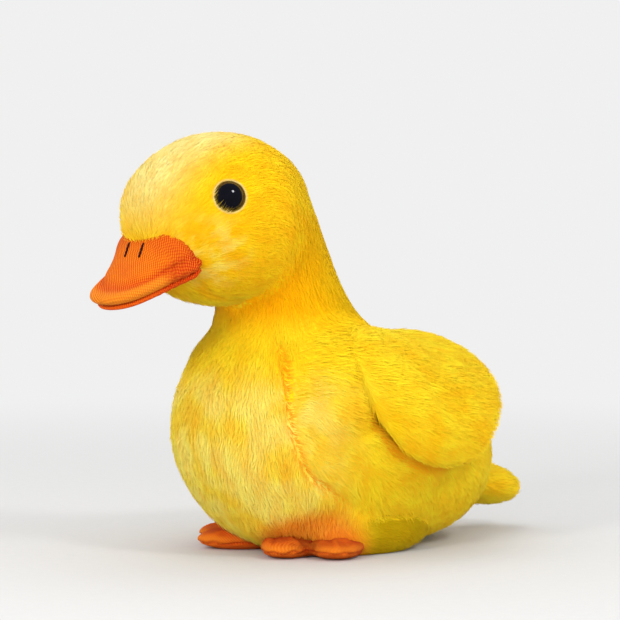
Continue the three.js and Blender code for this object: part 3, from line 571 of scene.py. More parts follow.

# %% [markdown]
# Plush yellow isn't one yellow. It is lemon on the forehead, golden on the crown and neck, and paler low on
# the breast. Light and shade are painted on it too: the orange light that the feet throw on the pile near
# them, amber shade on the throat under the head, shade low on the legs' rear, a pale ring round each eye for
# the highlight on its rim with shade inside it, highlights on the fluff behind the bill, and lemon spread
# over the front of the face where backlight makes the pile paler. A painted image would need a flat map of
# every panel. One function paints these regions from the object's coordinates instead, so that the cloth
# and the pile on it always agree.

# %% Colours of the plush
SUNNY, GOLDEN, AMBER = srgb(255, 230, 40), srgb(255, 210, 6), srgb(255, 186, 0)
LEMON_AND_BACKLIGHT, CREAM, LEG_SHADE_OLIVE = srgb(250, 241, 168), srgb(255, 243, 134), srgb(196, 166, 4)
FOOT_BOUNCE_LIGHT, EYE_RIM_HIGHLIGHT, EYE_RIM_SHADE = srgb(250, 128, 44), srgb(240, 222, 150), srgb(96, 70, 30)
EYE = np.array([27.239 * MM, -73.983 * MM + SHIFT, 137 * MM])  # the left eye's middle on the cloth
EYE_RADIUS = 5.25 * MM
JAW = np.array([22 * MM, -79.5 * MM + SHIFT, 115 * MM])  # where the highlights painted on the fluff behind the bill are strongest

# Each region of colour begins at its first place and is full at its second: along the toy, over the table,
# off the middle, or away from the jaw, the foot or the eye.
FRONT, FOREHEAD_FRONT = (-18 * MM + SHIFT, -50 * MM + SHIFT), (-46 * MM + SHIFT, -66 * MM + SHIFT)
LEG_SHADE_REAR = -16 * MM, 0
LEG_SHADE_LOW, BREAST_LOW, THROAT_SHADE = (20 * MM, 12 * MM), (78 * MM, 56 * MM), (80 * MM, 96 * MM)
HEAD_LOW, FOREHEAD_HIGH = (94 * MM, 102 * MM), (118 * MM, 146 * MM)
FOREHEAD_WIDE = 24 * MM, 4 * MM
JAW_HIGHLIGHT_REACH, FOOT_BOUNCE_REACH = (20 * MM, 6 * MM), (25 * MM, 15 * MM)
EYE_HIGHLIGHT_REACH = EYE_RADIUS + 1.7 * MM, EYE_RADIUS + 0.9 * MM
EYE_SHADE_REACH = EYE_RADIUS + 0.9 * MM, EYE_RADIUS + 0.5 * MM
PATCH, RUFF = 15 * MM, 5 * MM  # how wide the patches on the cloth and the ruffs of the cheek are


def plush_colour(paint, kind="yellow"):
    """The plush's colour at each place, with painted light and shade. Golden plush covers the neck."""
    place = paint.place()
    x, y, z = paint.split(place)
    patches = paint.noise(place, PATCH, 1.5)
    forward = paint.step(*FRONT, y)
    if kind == "golden":
        # Up the front of the throat, under the head, amber is painted over the golden cloth as shade.
        throat_shade = paint.step(*THROAT_SHADE, z)
        colour = paint.mix(GOLDEN, AMBER, forward * throat_shade * 0.9)
        return paint.mix(colour, SUNNY, (1 - throat_shade) * (1.2 - patches))
    colour = paint.mix(SUNNY, GOLDEN, paint.step(0.45, 0.75, patches) * 0.7)
    if kind == "olive":
        # The legs are painted a darker olive low at their rear, as the shade under the body.
        colour = paint.mix(colour, LEG_SHADE_OLIVE, paint.step(*LEG_SHADE_REAR, y) * paint.step(*LEG_SHADE_LOW, z))
    on_head = paint.step(*HEAD_LOW, z)
    colour = paint.mix(colour, GOLDEN, on_head * 0.8)
    aside = x.math("ABSOLUTE")
    # Lemon is the forehead's paler cloth. It is spread over the front of the face to paint the paleness that
    # backlight gives the pile there as well.
    forehead = paint.step(*FOREHEAD_WIDE, aside) * paint.step(*FOREHEAD_HIGH, z)
    colour = paint.mix(colour, LEMON_AND_BACKLIGHT, forehead * on_head * paint.step(*FOREHEAD_FRONT, y))
    # Behind the bill, pale highlights are painted on the fluff in ruffs, with deeper amber between them.
    ruffs = paint.noise(paint.combine(y * 0.45 + z * 0.3, z * 0.83 - y * 0.55, x), RUFF, 3.0)
    on_left = paint.combine(aside, y, z)
    cheek = paint.step(*JAW_HIGHLIGHT_REACH, paint.away(on_left, JAW)) * on_head
    colour = paint.mix(colour, CREAM, paint.step(0.4, 0.7, ruffs) * cheek * 0.65)
    colour = paint.mix(colour, AMBER, paint.step(0.5, 0.3, ruffs) * cheek * 0.25)
    breast = forward * (1 - on_head) * paint.step(*BREAST_LOW, z)
    colour = paint.mix(colour, CREAM, breast * (paint.step(0.62, 0.36, patches) * 0.6 + 0.25))
    # Near the feet, the orange light that they throw on the pile is painted in.
    colour = paint.mix(colour, FOOT_BOUNCE_LIGHT, paint.step(*FOOT_BOUNCE_REACH, paint.away(on_left, FOOT_MIDDLE)) * 0.85)
    # Round each eye a pale ring is painted for the highlight on the eye's rim, and inside it a dark ring of
    # painted shade where the pile parts.
    from_eye = paint.away(on_left, EYE)
    colour = paint.mix(colour, EYE_RIM_HIGHLIGHT, paint.step(*EYE_HIGHLIGHT_REACH, from_eye))
    return paint.mix(colour, EYE_RIM_SHADE, paint.step(*EYE_SHADE_REACH, from_eye))


def backing(kind):
    """The knitted cloth under the pile: the plush's colour, deeper, with a fine felted relief."""
    paint = Paint(f"{kind}_backing", Roughness=0.9, Specular_IOR_Level=0.05)
    fibres = paint.noise(paint.place(), 0.7 * MM, 3.0, 0.7)
    paint.feed("Base Color", paint.tint(plush_colour(paint, kind), srgb(236, 220, 190), fibres))
    paint.bump(fibres, 0.4 * MM)
    return paint.material


backing_cloth = {kind: backing(kind) for kind in ("yellow", "golden", "olive")}
print("backing cloths", [cloth.name for cloth in backing_cloth.values()])

# %% [markdown]
# A wing is a flat padded leaf laid round the side of the body. It could be a flat leaf bent by a modifier,
# but the torso isn't a cylinder. So its points follow the torso's own section at each place along the body,
# at a height off it, and the wing hugs the body at the front and stands off at its tip.

# %% Wings
WING_LENGTH, WING_FRONT, WING_THICK, WING_STANDOFF = 73 * MM, -27 * MM + SHIFT, 13 * MM, 7 * MM
WING_REACH, WING_RAISE = math.radians(40), math.radians(35)
WING_CORE = 0.6 * MM + WING_THICK / 2
standoff = curve([(0, 0), (0.35, 0), (0.6, 0.06), (0.8, 0.4), (1, 1)])
wing_upper = curve([(0, 0.9), (0.25, 0.88), (0.5, 0.98), (0.75, 1.26), (1, 1.65)])
wing_lower = curve([(0, 1.15), (0.25, 1.1), (0.5, 1.06), (0.75, 1.06), (1, 0.95)])
wing_raise = curve([(0, 1), (0.5, 1), (1, 1.15)], WING_RAISE)


def squared(value):
    """A sine or cosine made squarer, as the torso's rings are."""
    return np.sign(value) * np.abs(value) ** (1 / torso.fullness)


def along_torso(y):
    """The share of the torso's length at y, kept off its ends, where its rings shrink to points."""
    return np.clip((y - TORSO_FRONT) / TORSO_LENGTH, 0.02, 0.98)


def wing_point(t, angle, out):
    """The left wing at t along it, an angle round the body and a height off the body's surface."""
    y = WING_FRONT + WING_LENGTH * t
    along = along_torso(y)
    drawn, away = drawn_in(along), WING_STANDOFF * standoff(t)
    wide, high = torso.half(along) * drawn + away, torso.above(along) * drawn + away
    lean = unit(np.stack([np.cos(angle) / wide, np.sin(angle) / high], -1))
    x = wide * squared(np.cos(angle)) + lean[..., 0] * out
    z = torso.offset(along) - TORSO_PRESS + high * squared(np.sin(angle)) + lean[..., 1] * out
    return np.stack([x, y + 0 * x, z], -1)


def wing_reach(t, over, swell):
    """How far the wing reaches over or under its middle line at t, as an angle round the body."""
    return WING_REACH * np.where(over, wing_upper(t), wing_lower(t)) * swell


def wing_grid(rows, columns):
    """The left wing's closed grid: rows from its front to its tip, columns round its flat section."""
    turn = np.linspace(0, np.pi, rows)[:, None]
    angle = np.linspace(0, 2 * np.pi, columns, endpoint=False)[None, :]
    turn, angle = np.broadcast_arrays(turn, angle)
    t, swell = (1 - np.cos(turn)) / 2, np.sin(turn)
    reach = wing_reach(t, np.cos(angle) > 0, swell)
    out = WING_CORE + WING_THICK / 2 * np.sqrt(np.abs(swell)) * np.sin(angle)
    return wing_point(t, wing_raise(t) + reach * np.cos(angle), out)


def mirrored(grid):
    """The right-hand copy of a left-hand grid."""
    return grid * (-1, 1, 1)


def outline(t, side, out=WING_CORE):
    """The left wing's rim at t along it, at a height off the body: its upper rim for side 1, its lower for
    -1."""
    return wing_point(t, wing_raise(t) + side * wing_reach(t, side > 0, drawn_in(t)), out)


tip = outline(1.0, 1)
print("wing tip at", (tip / MM).round(1), "mm")

# %% [markdown]
# In front a wing has no edge, because it is sewn to the body there and stuffed up to the seam. So the body
# gets a mound for it: a thick tube that lies deep along the front of the wing's rim. It is thinner low
# down, where the rim comes free, and towards the rear. A distance to it is all that the later steps need.

# %% Roots of the wings
ROOT_DEPTH, ROOT_RADIUS, ROOT_SINK = 8 * MM, 16.5 * MM, 16 * MM
ROOT_END = 0.46  # of the wing's length
BODY_RADIUS = 45 * MM  # about the torso's, to turn angles round it into lengths
front = np.linspace(0, ROOT_END, 36)
wing_root = np.concatenate([outline(front[::-1], -1, -ROOT_DEPTH), outline(front, 1, -ROOT_DEPTH)])
rim_height = np.concatenate([outline(front[::-1], -1), outline(front, 1)])[:, 2]
tapered = smooth_step(0.12, ROOT_END, np.concatenate([front[::-1] * 0, front]))
root_radius = ROOT_RADIUS - 7.5 * MM * smooth_step(70 * MM, 56 * MM, rim_height) - 9 * MM * tapered


def to_left(places):
    """Places on the right moved to their mirror images on the left."""
    return np.abs(places) * (1, 0, 0) + places * (0, 1, 1)


def from_tube(places, line, radius=0.0):
    """The distance to a tube along a line on the left side, or to its mirror image on the right."""
    flat = to_left(places).reshape(-1, 3)
    found = np.concatenate([
        (np.linalg.norm(flat[part, None] - line, axis=-1) - radius).min(1) for part in in_chunks(flat)
    ])
    return found.reshape(places.shape[:-1])


def under_wings(places):
    """How far a place on the body lies inside a wing's outline, in metres, negative outside it."""
    t = (places[..., 1] - WING_FRONT) / WING_LENGTH
    along = along_torso(places[..., 1])
    drawn = drawn_in(along)
    high = (places[..., 2] - torso.offset(along) + TORSO_PRESS) / (torso.above(along) * drawn)
    angle = np.arctan2(high, np.abs(places[..., 0]) / (torso.half(along) * drawn))
    held = np.clip(t, 0, 1)
    reach = wing_reach(held, angle > wing_raise(held), drawn_in(held))
    beyond_ends = np.minimum(t, 1 - t) * WING_LENGTH
    inside = (reach - np.abs(angle - wing_raise(held))) * BODY_RADIUS
    return np.where((t > 0) & (t < 1), inside, beyond_ends)


def from_root(places):
    """The distance to the mounds that carry the wings. They sink away under the wings."""
    sunk = ROOT_SINK * smooth_step(1 * MM, 8 * MM, under_wings(places))
    return from_tube(places, wing_root, root_radius) + sunk


def whole_gap(places):
    """The distance to the body with the mounds that carry the wings."""
    return joined(body_gap(places), from_root(places), HOLLOW)


smallest, largest = (float(found / MM) for found in (root_radius.min(), root_radius.max()))
print("the wing root's radius runs from", round(smallest, 1), "to", round(largest, 1), "mm")

# %% [markdown]
# A skin is its form's own grid, settled on the shared surface, with its seams pressed in, and flattened
# where it touches the table. Every stuffed skin stands for the panels and the filling of the CAD model that
# it covers.

# %% Making a stuffed skin
skins = {}


def finish_piece(piece, material, slot_name, body, *replaced):
    """Gives a piece its material, the body that it rides on, and the CAD nodes that it stands for. The
    slot's name is not used."""
    piece.data.materials.append(material)
    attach(piece, body)
    if replaced:
        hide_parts(*replaced)


def stuffed(name, grid, body, slot_name, replaced, material):
    """A padded skin that stands for its CAD nodes."""
    grid[..., 2] = np.maximum(grid[..., 2], 0)
    piece = closed_skin(name, grid)
    finish_piece(piece, material, slot_name, body, *replaced)
    skins[name] = (grid, grid_normals(grid))
    return piece


def fitted(form, rows, columns, most, gap=body_gap):
    """A form's grid, moved out by at most the given distance to flow into its neighbours. It may move
    further out over a wing's root, and the neck's hidden foot stays where it is."""
    grid = form.grid(rows, columns)
    if gap is whole_gap:
        most = most + 9 * MM * smooth_step(9 * MM, 2 * MM, from_root(grid))
    if form is neck:
        most = most * smooth_step(NECK_FOOT, NECK_FOOT + 8 * MM, grid[..., 2])
    return settled(grid, grid_normals(grid), gap, most)


def plush_skin(name, grid, replaced, kind="yellow", body="duckling"):
    """A skin in plush cloth."""
    slot_name = "golden_plush" if kind == "golden" else "yellow_plush"
    return stuffed(name, grid, body, slot_name, replaced, backing_cloth[kind])


SIDE_GROOVE, BACK_GROOVE = (1.8 * MM, 1.3 * MM), (1.6 * MM, 1.0 * MM)  # width and depth
GUSSET_GROOVE, EYE_GROOVE = (1.6 * MM, 0.5 * MM), (6.5 * MM, 0.9 * MM)
GUSSET_HALF = 12 * MM  # half the width of the strip over the face and crown


def sewn(grid):
    """A body grid with its side seams and back seam pressed in."""
    across = seam_side(grid)
    pressed = groove(across, *SIDE_GROOVE) * smooth_step(12 * MM, 30 * MM, grid[..., 2])
    on_back = (across > 0) & (grid[..., 2] > TORSO_HEIGHT / 2)
    pressed = np.maximum(pressed, np.where(on_back, groove(grid[..., 0], *BACK_GROOVE), 0))
    pressed = pressed * smooth_step(COLLAR + MM, COLLAR - 2 * MM, grid[..., 2])
    return grid - grid_normals(grid) * pressed[..., None]


print("the side seam is pressed in by", round(SIDE_GROOVE[1] / MM, 1), "mm")

# %% [markdown]
# The body takes the most rows, because its seams and the wings' roots are the finest shapes on it. The head
# is sewn from two cheeks and a strip between them, and its cloth is drawn in round each eye by the eye's
# post.

# %% Skins of the body, neck, head, tail, legs and wings
body_grid = sewn(fitted(torso, 120, 180, 4 * MM, whole_gap))
plush_skin("body", body_grid, [
    "breast_panel", "belly_panel", "left_side_panel", "right_side_panel", "stuffing", "pellet_bag",
    "plastic_pellets",
])
plush_skin("neck", sewn(fitted(neck, 96, 144, 5 * MM, whole_gap)), ["neck_sleeve"], "golden")

head_grid = fitted(head, 96, 144, 5 * MM)
gusset_seam = groove(np.abs(head_grid[..., 0]) - GUSSET_HALF, *GUSSET_GROOVE)
head_grid -= grid_normals(head_grid) * gusset_seam[..., None]
from_eye = np.linalg.norm(to_left(head_grid) - EYE, axis=-1)
head_grid -= grid_normals(head_grid) * groove(from_eye, *EYE_GROOVE)[..., None]
plush_skin("head", head_grid, ["head_gusset", "left_cheek_panel", "right_cheek_panel"])
plush_skin("tail", fitted(tail, 60, 72, 3 * MM), ["tail_top", "tail_underside", "tail_wadding"])
for side, leg in legs.items():
    parts = [f"{side}_leg_cover", f"{side}_leg_wadding"]
    plush_skin(f"{side}_leg", fitted(leg, 48, 60, 2 * MM), parts, "olive")

left_wing = wing_grid(84, 108)
for side, grid in (("left", left_wing), ("right", mirrored(left_wing))):
    parts = [f"{side}_wing_{part}" for part in ("cover", "lining", "wadding")]
    plush_skin(f"{side}_wing", grid.copy(), parts, body=f"{side}_wing")
print("skins", {name: grid.shape for name, (grid, _) in skins.items()})

# %% [markdown]
# Pile is what makes plush. A bump map would leave its outline smooth, and particle hair has no faces to
# export. So every strand here is a real tapered spike with a bend, rooted on a skin. Roots are scattered
# evenly by area, combed along the cloth, and drawn together in tufts, since plush never stands as single
# hairs.

# %% Scattering roots
class Ripple:
    """Smooth noise of about -1 to 1: the sum of sines that run in random directions, each about a
    wavelength long."""

    def __init__(self, wavelength, seed, waves=20):
        rng = np.random.default_rng(seed)
        ways = unit(rng.normal(size=(waves, 3)))
        self.ways = ways * (2 * np.pi / (wavelength * rng.uniform(0.7, 1.5, waves)))[:, None]
        self.phases = rng.uniform(0, 2 * np.pi, waves)
        self.scale = 1 / math.sqrt(waves)

    def __call__(self, places):
        return np.sin(places @ self.ways.T + self.phases).sum(-1) * self.scale


def scattered(name, per_mm2, seed):
    """Random roots on a skin, as many on each cell of its grid as the cell's share of the area."""
    grid, normals = skins[name]
    rng = np.random.default_rng(seed)
    around, around_normals = np.roll(grid, -1, 1), np.roll(normals, -1, 1)
    crossed = np.cross(around[1:] - grid[:-1], grid[1:] - around[:-1])
    areas = np.cumsum(0.5 * np.linalg.norm(crossed, axis=-1).reshape(-1))
    count = int(areas[-1] / MM**2 * per_mm2)
    picked = np.searchsorted(areas, (np.arange(count) + rng.random(count)) / count * areas[-1])
    row, column = np.divmod(np.minimum(picked, areas.size - 1), grid.shape[1])
    down, across = rng.random((2, count, 1))

    def between(near, far):
        first = near[row, column] * (1 - down) + near[row + 1, column] * down
        second = far[row, column] * (1 - down) + far[row + 1, column] * down
        return first * (1 - across) + second * across

    return between(grid, around), unit(between(normals, around_normals))


# Any uneven numbers do here: they only have to scatter a cell's number over the range from 0 to 1.
MIXER = np.array([[12.99, 78.23, 37.72], [39.35, 11.14, 83.16], [73.16, 52.24, 9.15]])
STRETCH = 43758.5


def tuft_lean(places, size, seed):
    """The way from each root to the middle of its tuft: space is cut into wavy cells, each with a middle of
    its own, which comes from the fraction of a sine of the cell's number."""
    wave = np.stack([Ripple(size * 2.5, seed + i)(places) for i in range(3)], -1)
    cell = np.floor((places + wave * size * 0.35) / size)
    mixed = np.sin(cell @ MIXER) * STRETCH
    return (cell + 0.5 + 0.5 * (mixed - np.floor(mixed) - 0.5)) * size - places


sample, _ = scattered("head", 0.01, 1)
print("a root on each square centimetre of the head makes", len(sample), "roots")

# %% [markdown]
# A strand has a root of three corners, a bend of three corners and a tip: seven points and ten triangles.
# Its flat side faces up, as combed fibres lie. Three values go with it for the material: how far along the
# strand a point is, a tone of its own, and how deep it lies in a crease, where shade is painted.

# %% Growing the pile
SINK = 0.2 * MM  # how deep a root lies in the cloth
STRAND_WIDTH, BEND_WIDTH = 0.25 * MM, 0.85  # the second as a share of the first
BEND_AT = 0.45  # of the strand's length
TUFT = 3.0 * MM
TABLE_CLEARANCE = 0.1 * MM
# Each strand's length, rise and width are these shares of what was asked for.
LENGTH_SPREAD, RISE_SPREAD, WIDTH_SPREAD = (0.7, 1.12), (0.5, 1.6), (0.8, 1.2)
SWIRLED, RUFFLED, STRAY = 0.2, 0.16, 0.11  # in radians, how far each of the three turns the pile aside
LEAN_AT_BEND, LEAN_AT_TIP = 0.08, 0.18  # of the way to the middle of the tuft
RING = np.radians([30, 150, 270])
STRAND_FACES = [
    np.array([[0, 1, 4, 3], [1, 2, 5, 4], [2, 0, 3, 5]]),
    np.array([[3, 4, 6], [4, 5, 6], [5, 3, 6], [2, 1, 0]]),
]
# Where a strand's points lie in its own cell of the flat map, how far along it they are, and how much of a
# crease's painted shade they take.
STRAND_CELL = np.array([
    [0.2, 0.15], [0.8, 0.15], [0.5, 0.15], [0.2, 0.5], [0.8, 0.5], [0.5, 0.5], [0.5, 0.85],
])
REACH_ALONG = [0, 0, 0, 0.5, 0.5, 0.5, 1]
CREASE_SHADE_ALONG = np.array([1, 1, 1, 0.9, 0.9, 0.9, 0.3])
swirl, ruffle, streaks = Ripple(30 * MM, 11), Ripple(8 * MM, 12), Ripple(4 * MM, 13)
grown = {}


def pile(name, roots, comb, body, material, slot_name, length, rise, crease, seed, streak=(1, 1, 1)):
    """Grows one strand from each root. Comb is the way that it lies, and rise the slope at which it starts
    out. A streak under 1 along an axis draws the light and dark patches of the pile out along it."""
    places, normals = roots
    rng = np.random.default_rng(seed)
    count = len(places)
    flat = unit(comb - normals * (comb * normals).sum(-1, keepdims=True))
    turn = SWIRLED * swirl(places) + RUFFLED * ruffle(places) + rng.normal(0, STRAY, count)
    flat = flat * np.cos(turn)[:, None] + np.cross(normals, flat) * np.sin(turn)[:, None]
    aside = np.cross(normals, flat)
    length = (length * rng.uniform(*LENGTH_SPREAD, count))[:, None]
    rise = (rise * rng.uniform(*RISE_SPREAD, count))[:, None]
    lean = tuft_lean(places, TUFT, 5)
    lean = aside * (lean * aside).sum(-1, keepdims=True)
    root = places - normals * SINK
    first, second = unit(flat + normals * rise), unit(flat + normals * rise * 0.25)
    bend = root + first * length * BEND_AT + lean * LEAN_AT_BEND
    tip = bend + second * length * (1 - BEND_AT) + lean * LEAN_AT_TIP
    radius = (STRAND_WIDTH / 2 * rng.uniform(*WIDTH_SPREAD, count))[:, None]
    points = np.empty((count, 7, 3))
    for k, angle in enumerate(RING):
        up = np.cross(first, aside)
        points[:, k] = root + (aside * np.cos(angle) + up * np.sin(angle)) * radius
        up = np.cross(unit(tip - root), aside)
        points[:, 3 + k] = bend + (aside * np.cos(angle) + up * np.sin(angle)) * radius * BEND_WIDTH
    points[:, 6] = tip
    points[..., 2] = np.maximum(points[..., 2], TABLE_CLEARANCE)
    offsets = (7 * np.arange(count))[:, None, None]
    faces = [(f[None] + offsets).reshape(-1, f.shape[1]) for f in STRAND_FACES]
    piece = put(name, points.reshape(-1, 3), faces)
    drawn = places * streak
    tone = np.clip(0.5 + 0.2 * ruffle(drawn) + 0.2 * streaks(drawn) + rng.uniform(-0.22, 0.22, count), 0, 1)
    give(piece, "reach", np.tile(REACH_ALONG, count))
    give(piece, "tone", np.repeat(tone, 7))
    give(piece, "crease", ((crease + 0 * tone)[:, None] * CREASE_SHADE_ALONG).reshape(-1))
    cells = math.ceil(math.sqrt(count))
    cell = np.stack([np.arange(count) % cells, np.arange(count) // cells], -1)
    flat_map = ((cell[:, None] + STRAND_CELL) / cells).reshape(-1, 2)
    corner = np.concatenate([f.reshape(-1) for f in faces])
    on_map = piece.data.uv_layers.new(name="OFBake")
    on_map.data.foreach_set("uv", flat_map[corner].astype(np.float32).reshape(-1))
    piece.data.normals_split_custom_set_from_vertices(np.repeat(normals, 7, axis=0))
    finish_piece(piece, material, slot_name, body)
    grown[name] = count


print("a strand has", sum(len(f) * (f.shape[1] - 2) for f in STRAND_FACES), "triangles")

# %% [markdown]
# A fibre is painted warmer at its root, as shade, since little light reaches it there, and lighter at its
# tip, as light; no two are quite the same. Where a crease runs, the fibres are painted a deep amber as shade.

# %% Pile materials
# The tips are painted sunlit as light, and the creases a deep amber as shade.
SUNLIT, CREASE_SHADE = srgb(255, 244, 60), srgb(246, 142, 2)
# For each kind: the painted shade of its roots, the painted sunlight on its tips, the tint of its deepest
# strands.
PILE_TINTS = {
    "yellow": (srgb(255, 238, 170), 0.16, srgb(252, 226, 190)),
    "golden": (srgb(255, 246, 200), 0.05, srgb(255, 240, 210)),
    "olive": (srgb(255, 246, 200), 0.05, srgb(255, 240, 210)),
}


def pile_material(kind):
    """Plush fibre: painted shade at the root and in creases, painted light at the tip, each strand with its
    own tone.
    """
    paint = Paint(f"{kind}_pile", Roughness=0.7, Diffuse_Roughness=0.6, Specular_IOR_Level=0.04)
    paint.shader.inputs["Sheen Weight"].default_value = 0.08
    paint.shader.inputs["Sheen Tint"].default_value = srgb(255, 230, 120)
    reach, tone, crease = (paint.attribute(label) for label in ("reach", "tone", "crease"))
    colour = plush_colour(paint, kind)
    root_tint, tip_share, tone_tint = PILE_TINTS[kind]
    root, tip = paint.tint(colour, root_tint), paint.mix(colour, SUNLIT, tip_share)
    along = paint.mix(root, tip, paint.step(-0.2, 0.7, reach))
    paint.feed("Base Color", paint.mix(paint.tint(along, tone_tint, tone), CREASE_SHADE, crease))
    return paint.material


yellow_pile, golden_pile, olive_pile = (pile_material(kind) for kind in ("yellow", "golden", "olive"))
print("pile materials", yellow_pile.name, golden_pile.name, olive_pile.name)

# %% [markdown]
# Where two forms meet, each grows only the roots that belong to it, or the pile would stand twice. A straight
# border would show, so the border wavers a little, and near it all strands stand on the surface that both
# share.

# %% Borders of the pile
DENSITY = 2.35  # strands on a square millimetre
NECK_DENSITY = 0.9 * DENSITY
mingled = Ripple(1.6 * MM, 17)
WAVERS = {neck: 2.2 * MM, tail: 1.2 * MM, legs["left"]: 0.8 * MM, legs["right"]: 0.8 * MM}


def slope(field, places):
    """The direction in which a field grows fastest."""
    near = 0.5 * MM
    return unit(np.stack([field(places + near * e) - field(places - near * e) for e in np.eye(3)], -1))


def owned(roots, own, *others):
    """The roots that lie nearer to their own form than to any other. Borders waver, so that the pile on
    both sides mingles, and beside a border the pile stands on the surface that both forms share. The neck
    owns nothing near its foot, which lies hidden in the torso."""
    places, normals = roots
    forms = (own, *others)
    gaps = np.array([form.gap(places) + WAVERS.get(form, 0) * mingled(places) for form in forms])
    hidden_foot = smooth_step(NECK_FOOT + 10 * MM, NECK_FOOT, places[:, 2])
    gaps[[form is neck for form in forms]] += 8 * MM * hidden_foot
    keep = np.argmin(gaps, axis=0) == 0
    places, normals, border = places[keep], normals[keep], gaps[1:, keep].min(0) - gaps[0, keep]
    share = smooth_step(9 * MM, 4 * MM, border)[:, None]
    near = share[:, 0] > 0
    shared = slope(whole_gap, places[near])
    normals[near] = unit(normals[near] * (1 - share[near]) + shared * share[near])
    return places, normals


print("strands on a square centimetre", round(DENSITY * 100), "and on the neck", round(NECK_DENSITY * 100))

# %% [markdown]
# The comb decides the look. It could be brushed by hand, but a field of directions combs both sides of the
# toy alike. On the head the pile runs back from the bill, on the neck and breast it falls, and on the
# sides, wings and tail it runs backwards. Beside a seam the pile turns away from the stitches, and it is
# shorter there, because they pull its roots together; its crease is painted a deeper amber, as shade.

# %% Combing
def ways(*columns):
    """Directions from three coordinates, each a number or an array."""
    return np.stack(np.broadcast_arrays(*columns), -1).astype(float)


def on_root(places):
    """How much a place belongs to the mound that carries a wing."""
    return smooth_step(5 * MM, 1 * MM, from_root(places))


PARTING, SEAM_SHADE = (3 * MM, 0.25), (1.3 * MM, 1.0)  # width and strength


def combed(places, comb):
    """Two things: the comb, turned away from the side seam on both of its sides and drawn back over the
    wings' roots, and how deep each place lies in that seam's crease, from 0 to 1, where shade is painted."""
    across = seam_side(places)
    on_seam = smooth_step(COLLAR + MM, COLLAR - 4 * MM, places[:, 2])
    on_seam = on_seam * smooth_step(12 * MM, 34 * MM, places[:, 2])
    parting = groove(across, *PARTING) * np.sign(across) * on_seam
    comb = unit(comb) + slope(seam_side, places) * parting[:, None]
    over_root = 0.9 * on_root(places)[:, None]
    comb = unit(comb) * (1 - over_root) + unit(ways(0, 1, -0.5)) * over_root
    return comb, groove(across, *SEAM_SHADE) * on_seam


flat_comb, _ = combed(np.array([[0, TORSO_FRONT, TORSO_HEIGHT / 2]]), ways([0], -0.1, -1))
print("the comb on the breast:", flat_comb[0].round(2))

# %% [markdown]
# The body's pile is cut into the four panels of the pattern, so that each panel stays a piece of its own.
# It is pressed flat under the wings and longer over their roots, with shade painted along their lower rims.

# %% Pile of the body
BODY_PILE, ROOT_EXTRA = 5.0 * MM, 1.0 * MM  # the second on top, over the wings' roots
RIM_OUT = 2 * MM  # how far off the body the crease under a wing's rim is measured
BEFORE_RIM = -2 * MM, -8.5 * MM, 11.5 * MM  # how the crease runs on from the rim's front
places, normals = owned(scattered("body", DENSITY, 21), torso, neck, head, tail, *legs.values())
# The belly rests on the table, so few strands grow under it.
keep = (places[:, 2] > 0.5 * MM) | (np.random.default_rng(3).random(len(places)) < 0.15)
places, normals = places[keep], normals[keep]
x, y, z = places.T
beside_seam, under_wing = seam_side(places), under_wings(places)
low = smooth_step(48 * MM, 12 * MM, z)
side_share = smooth_step(-1.5 * MM, 1.5 * MM, beside_seam)[:, None]
rear_share = smooth_step(-12 * MM, 16 * MM, y)[:, None]
falling = ways(x / (TORSO_WIDTH / 2) * 0.6, -0.1, -1)
streaming = ways(0, 1, -0.35 - 1.1 * low)
comb = falling + (streaming - falling) * np.maximum(side_share, rear_share)
comb, seam_shade = combed(places, comb)
rooted = on_root(places)
covered = smooth_step(0, 12 * MM, under_wing) * (1 - rooted)
seam_close = groove(beside_seam, 2.2 * MM, 1.0)
length = BODY_PILE * (1 - 0.25 * covered) * (1 - 0.25 * seam_close) + ROOT_EXTRA * rooted
rise = 0.42 * (1 - 0.35 * covered) * (1 - 0.3 * rooted)
# The pile is painted a deep amber along the wings' lower rims and ahead of them, as the shade there.
from_rim = from_tube(places, outline(np.linspace(0.03, 0.72, 90), -1, RIM_OUT))
before_rim = outline(0.06, -1, RIM_OUT) + np.linspace(0, 1, 16)[:, None] * BEFORE_RIM
front_rim_shade = groove(from_tube(places, before_rim), 1.7 * MM, 0.9)
wing_rim_shade = np.maximum(0.7 * smooth_step(4.2 * MM, 2 * MM, from_rim), front_rim_shade)
crease = np.clip(seam_shade + wing_rim_shade, 0, 1)
panels = {
    "breast_pile": (beside_seam <= 0) & (y < -2 * MM),
    "belly_pile": (beside_seam <= 0) & (y >= -2 * MM),
    "left_side_pile": (beside_seam > 0) & (x >= 0),
    "right_side_pile": (beside_seam > 0) & (x < 0),
}
for seed, (name, mine) in enumerate(panels.items(), 31):
    pile(name, (places[mine], normals[mine]), comb[mine], "duckling", yellow_pile, "yellow_plush",
         length[mine], rise[mine], crease[mine], seed, streak=(1, 0.8, 0.35))
print("strands on the body", sum(grown.values()))

# %% [markdown]
# On the head the strands fan out from a place behind the bill and turn down at the nape. They are clipped
# short by the eyes, except for a few that hang over the front of each eye's lower rim.

# %% Pile of the neck and head
NECK_PILE, HEAD_PILE = 4.8 * MM, 4.4 * MM
places, normals = owned(scattered("neck", NECK_DENSITY, 22), neck, torso, head)
nape = smooth_step(0.1, 0.8, normals[:, 1])
comb, crease = combed(places, ways(places[:, 0] * 8, 0.15, -1))
pile("neck_pile", (places, normals), comb, "duckling", golden_pile, "golden_plush",
     NECK_PILE + 1.2 * MM * on_root(places), 0.38 - 0.16 * nape, crease, 41, streak=(1, 1, 0.35))

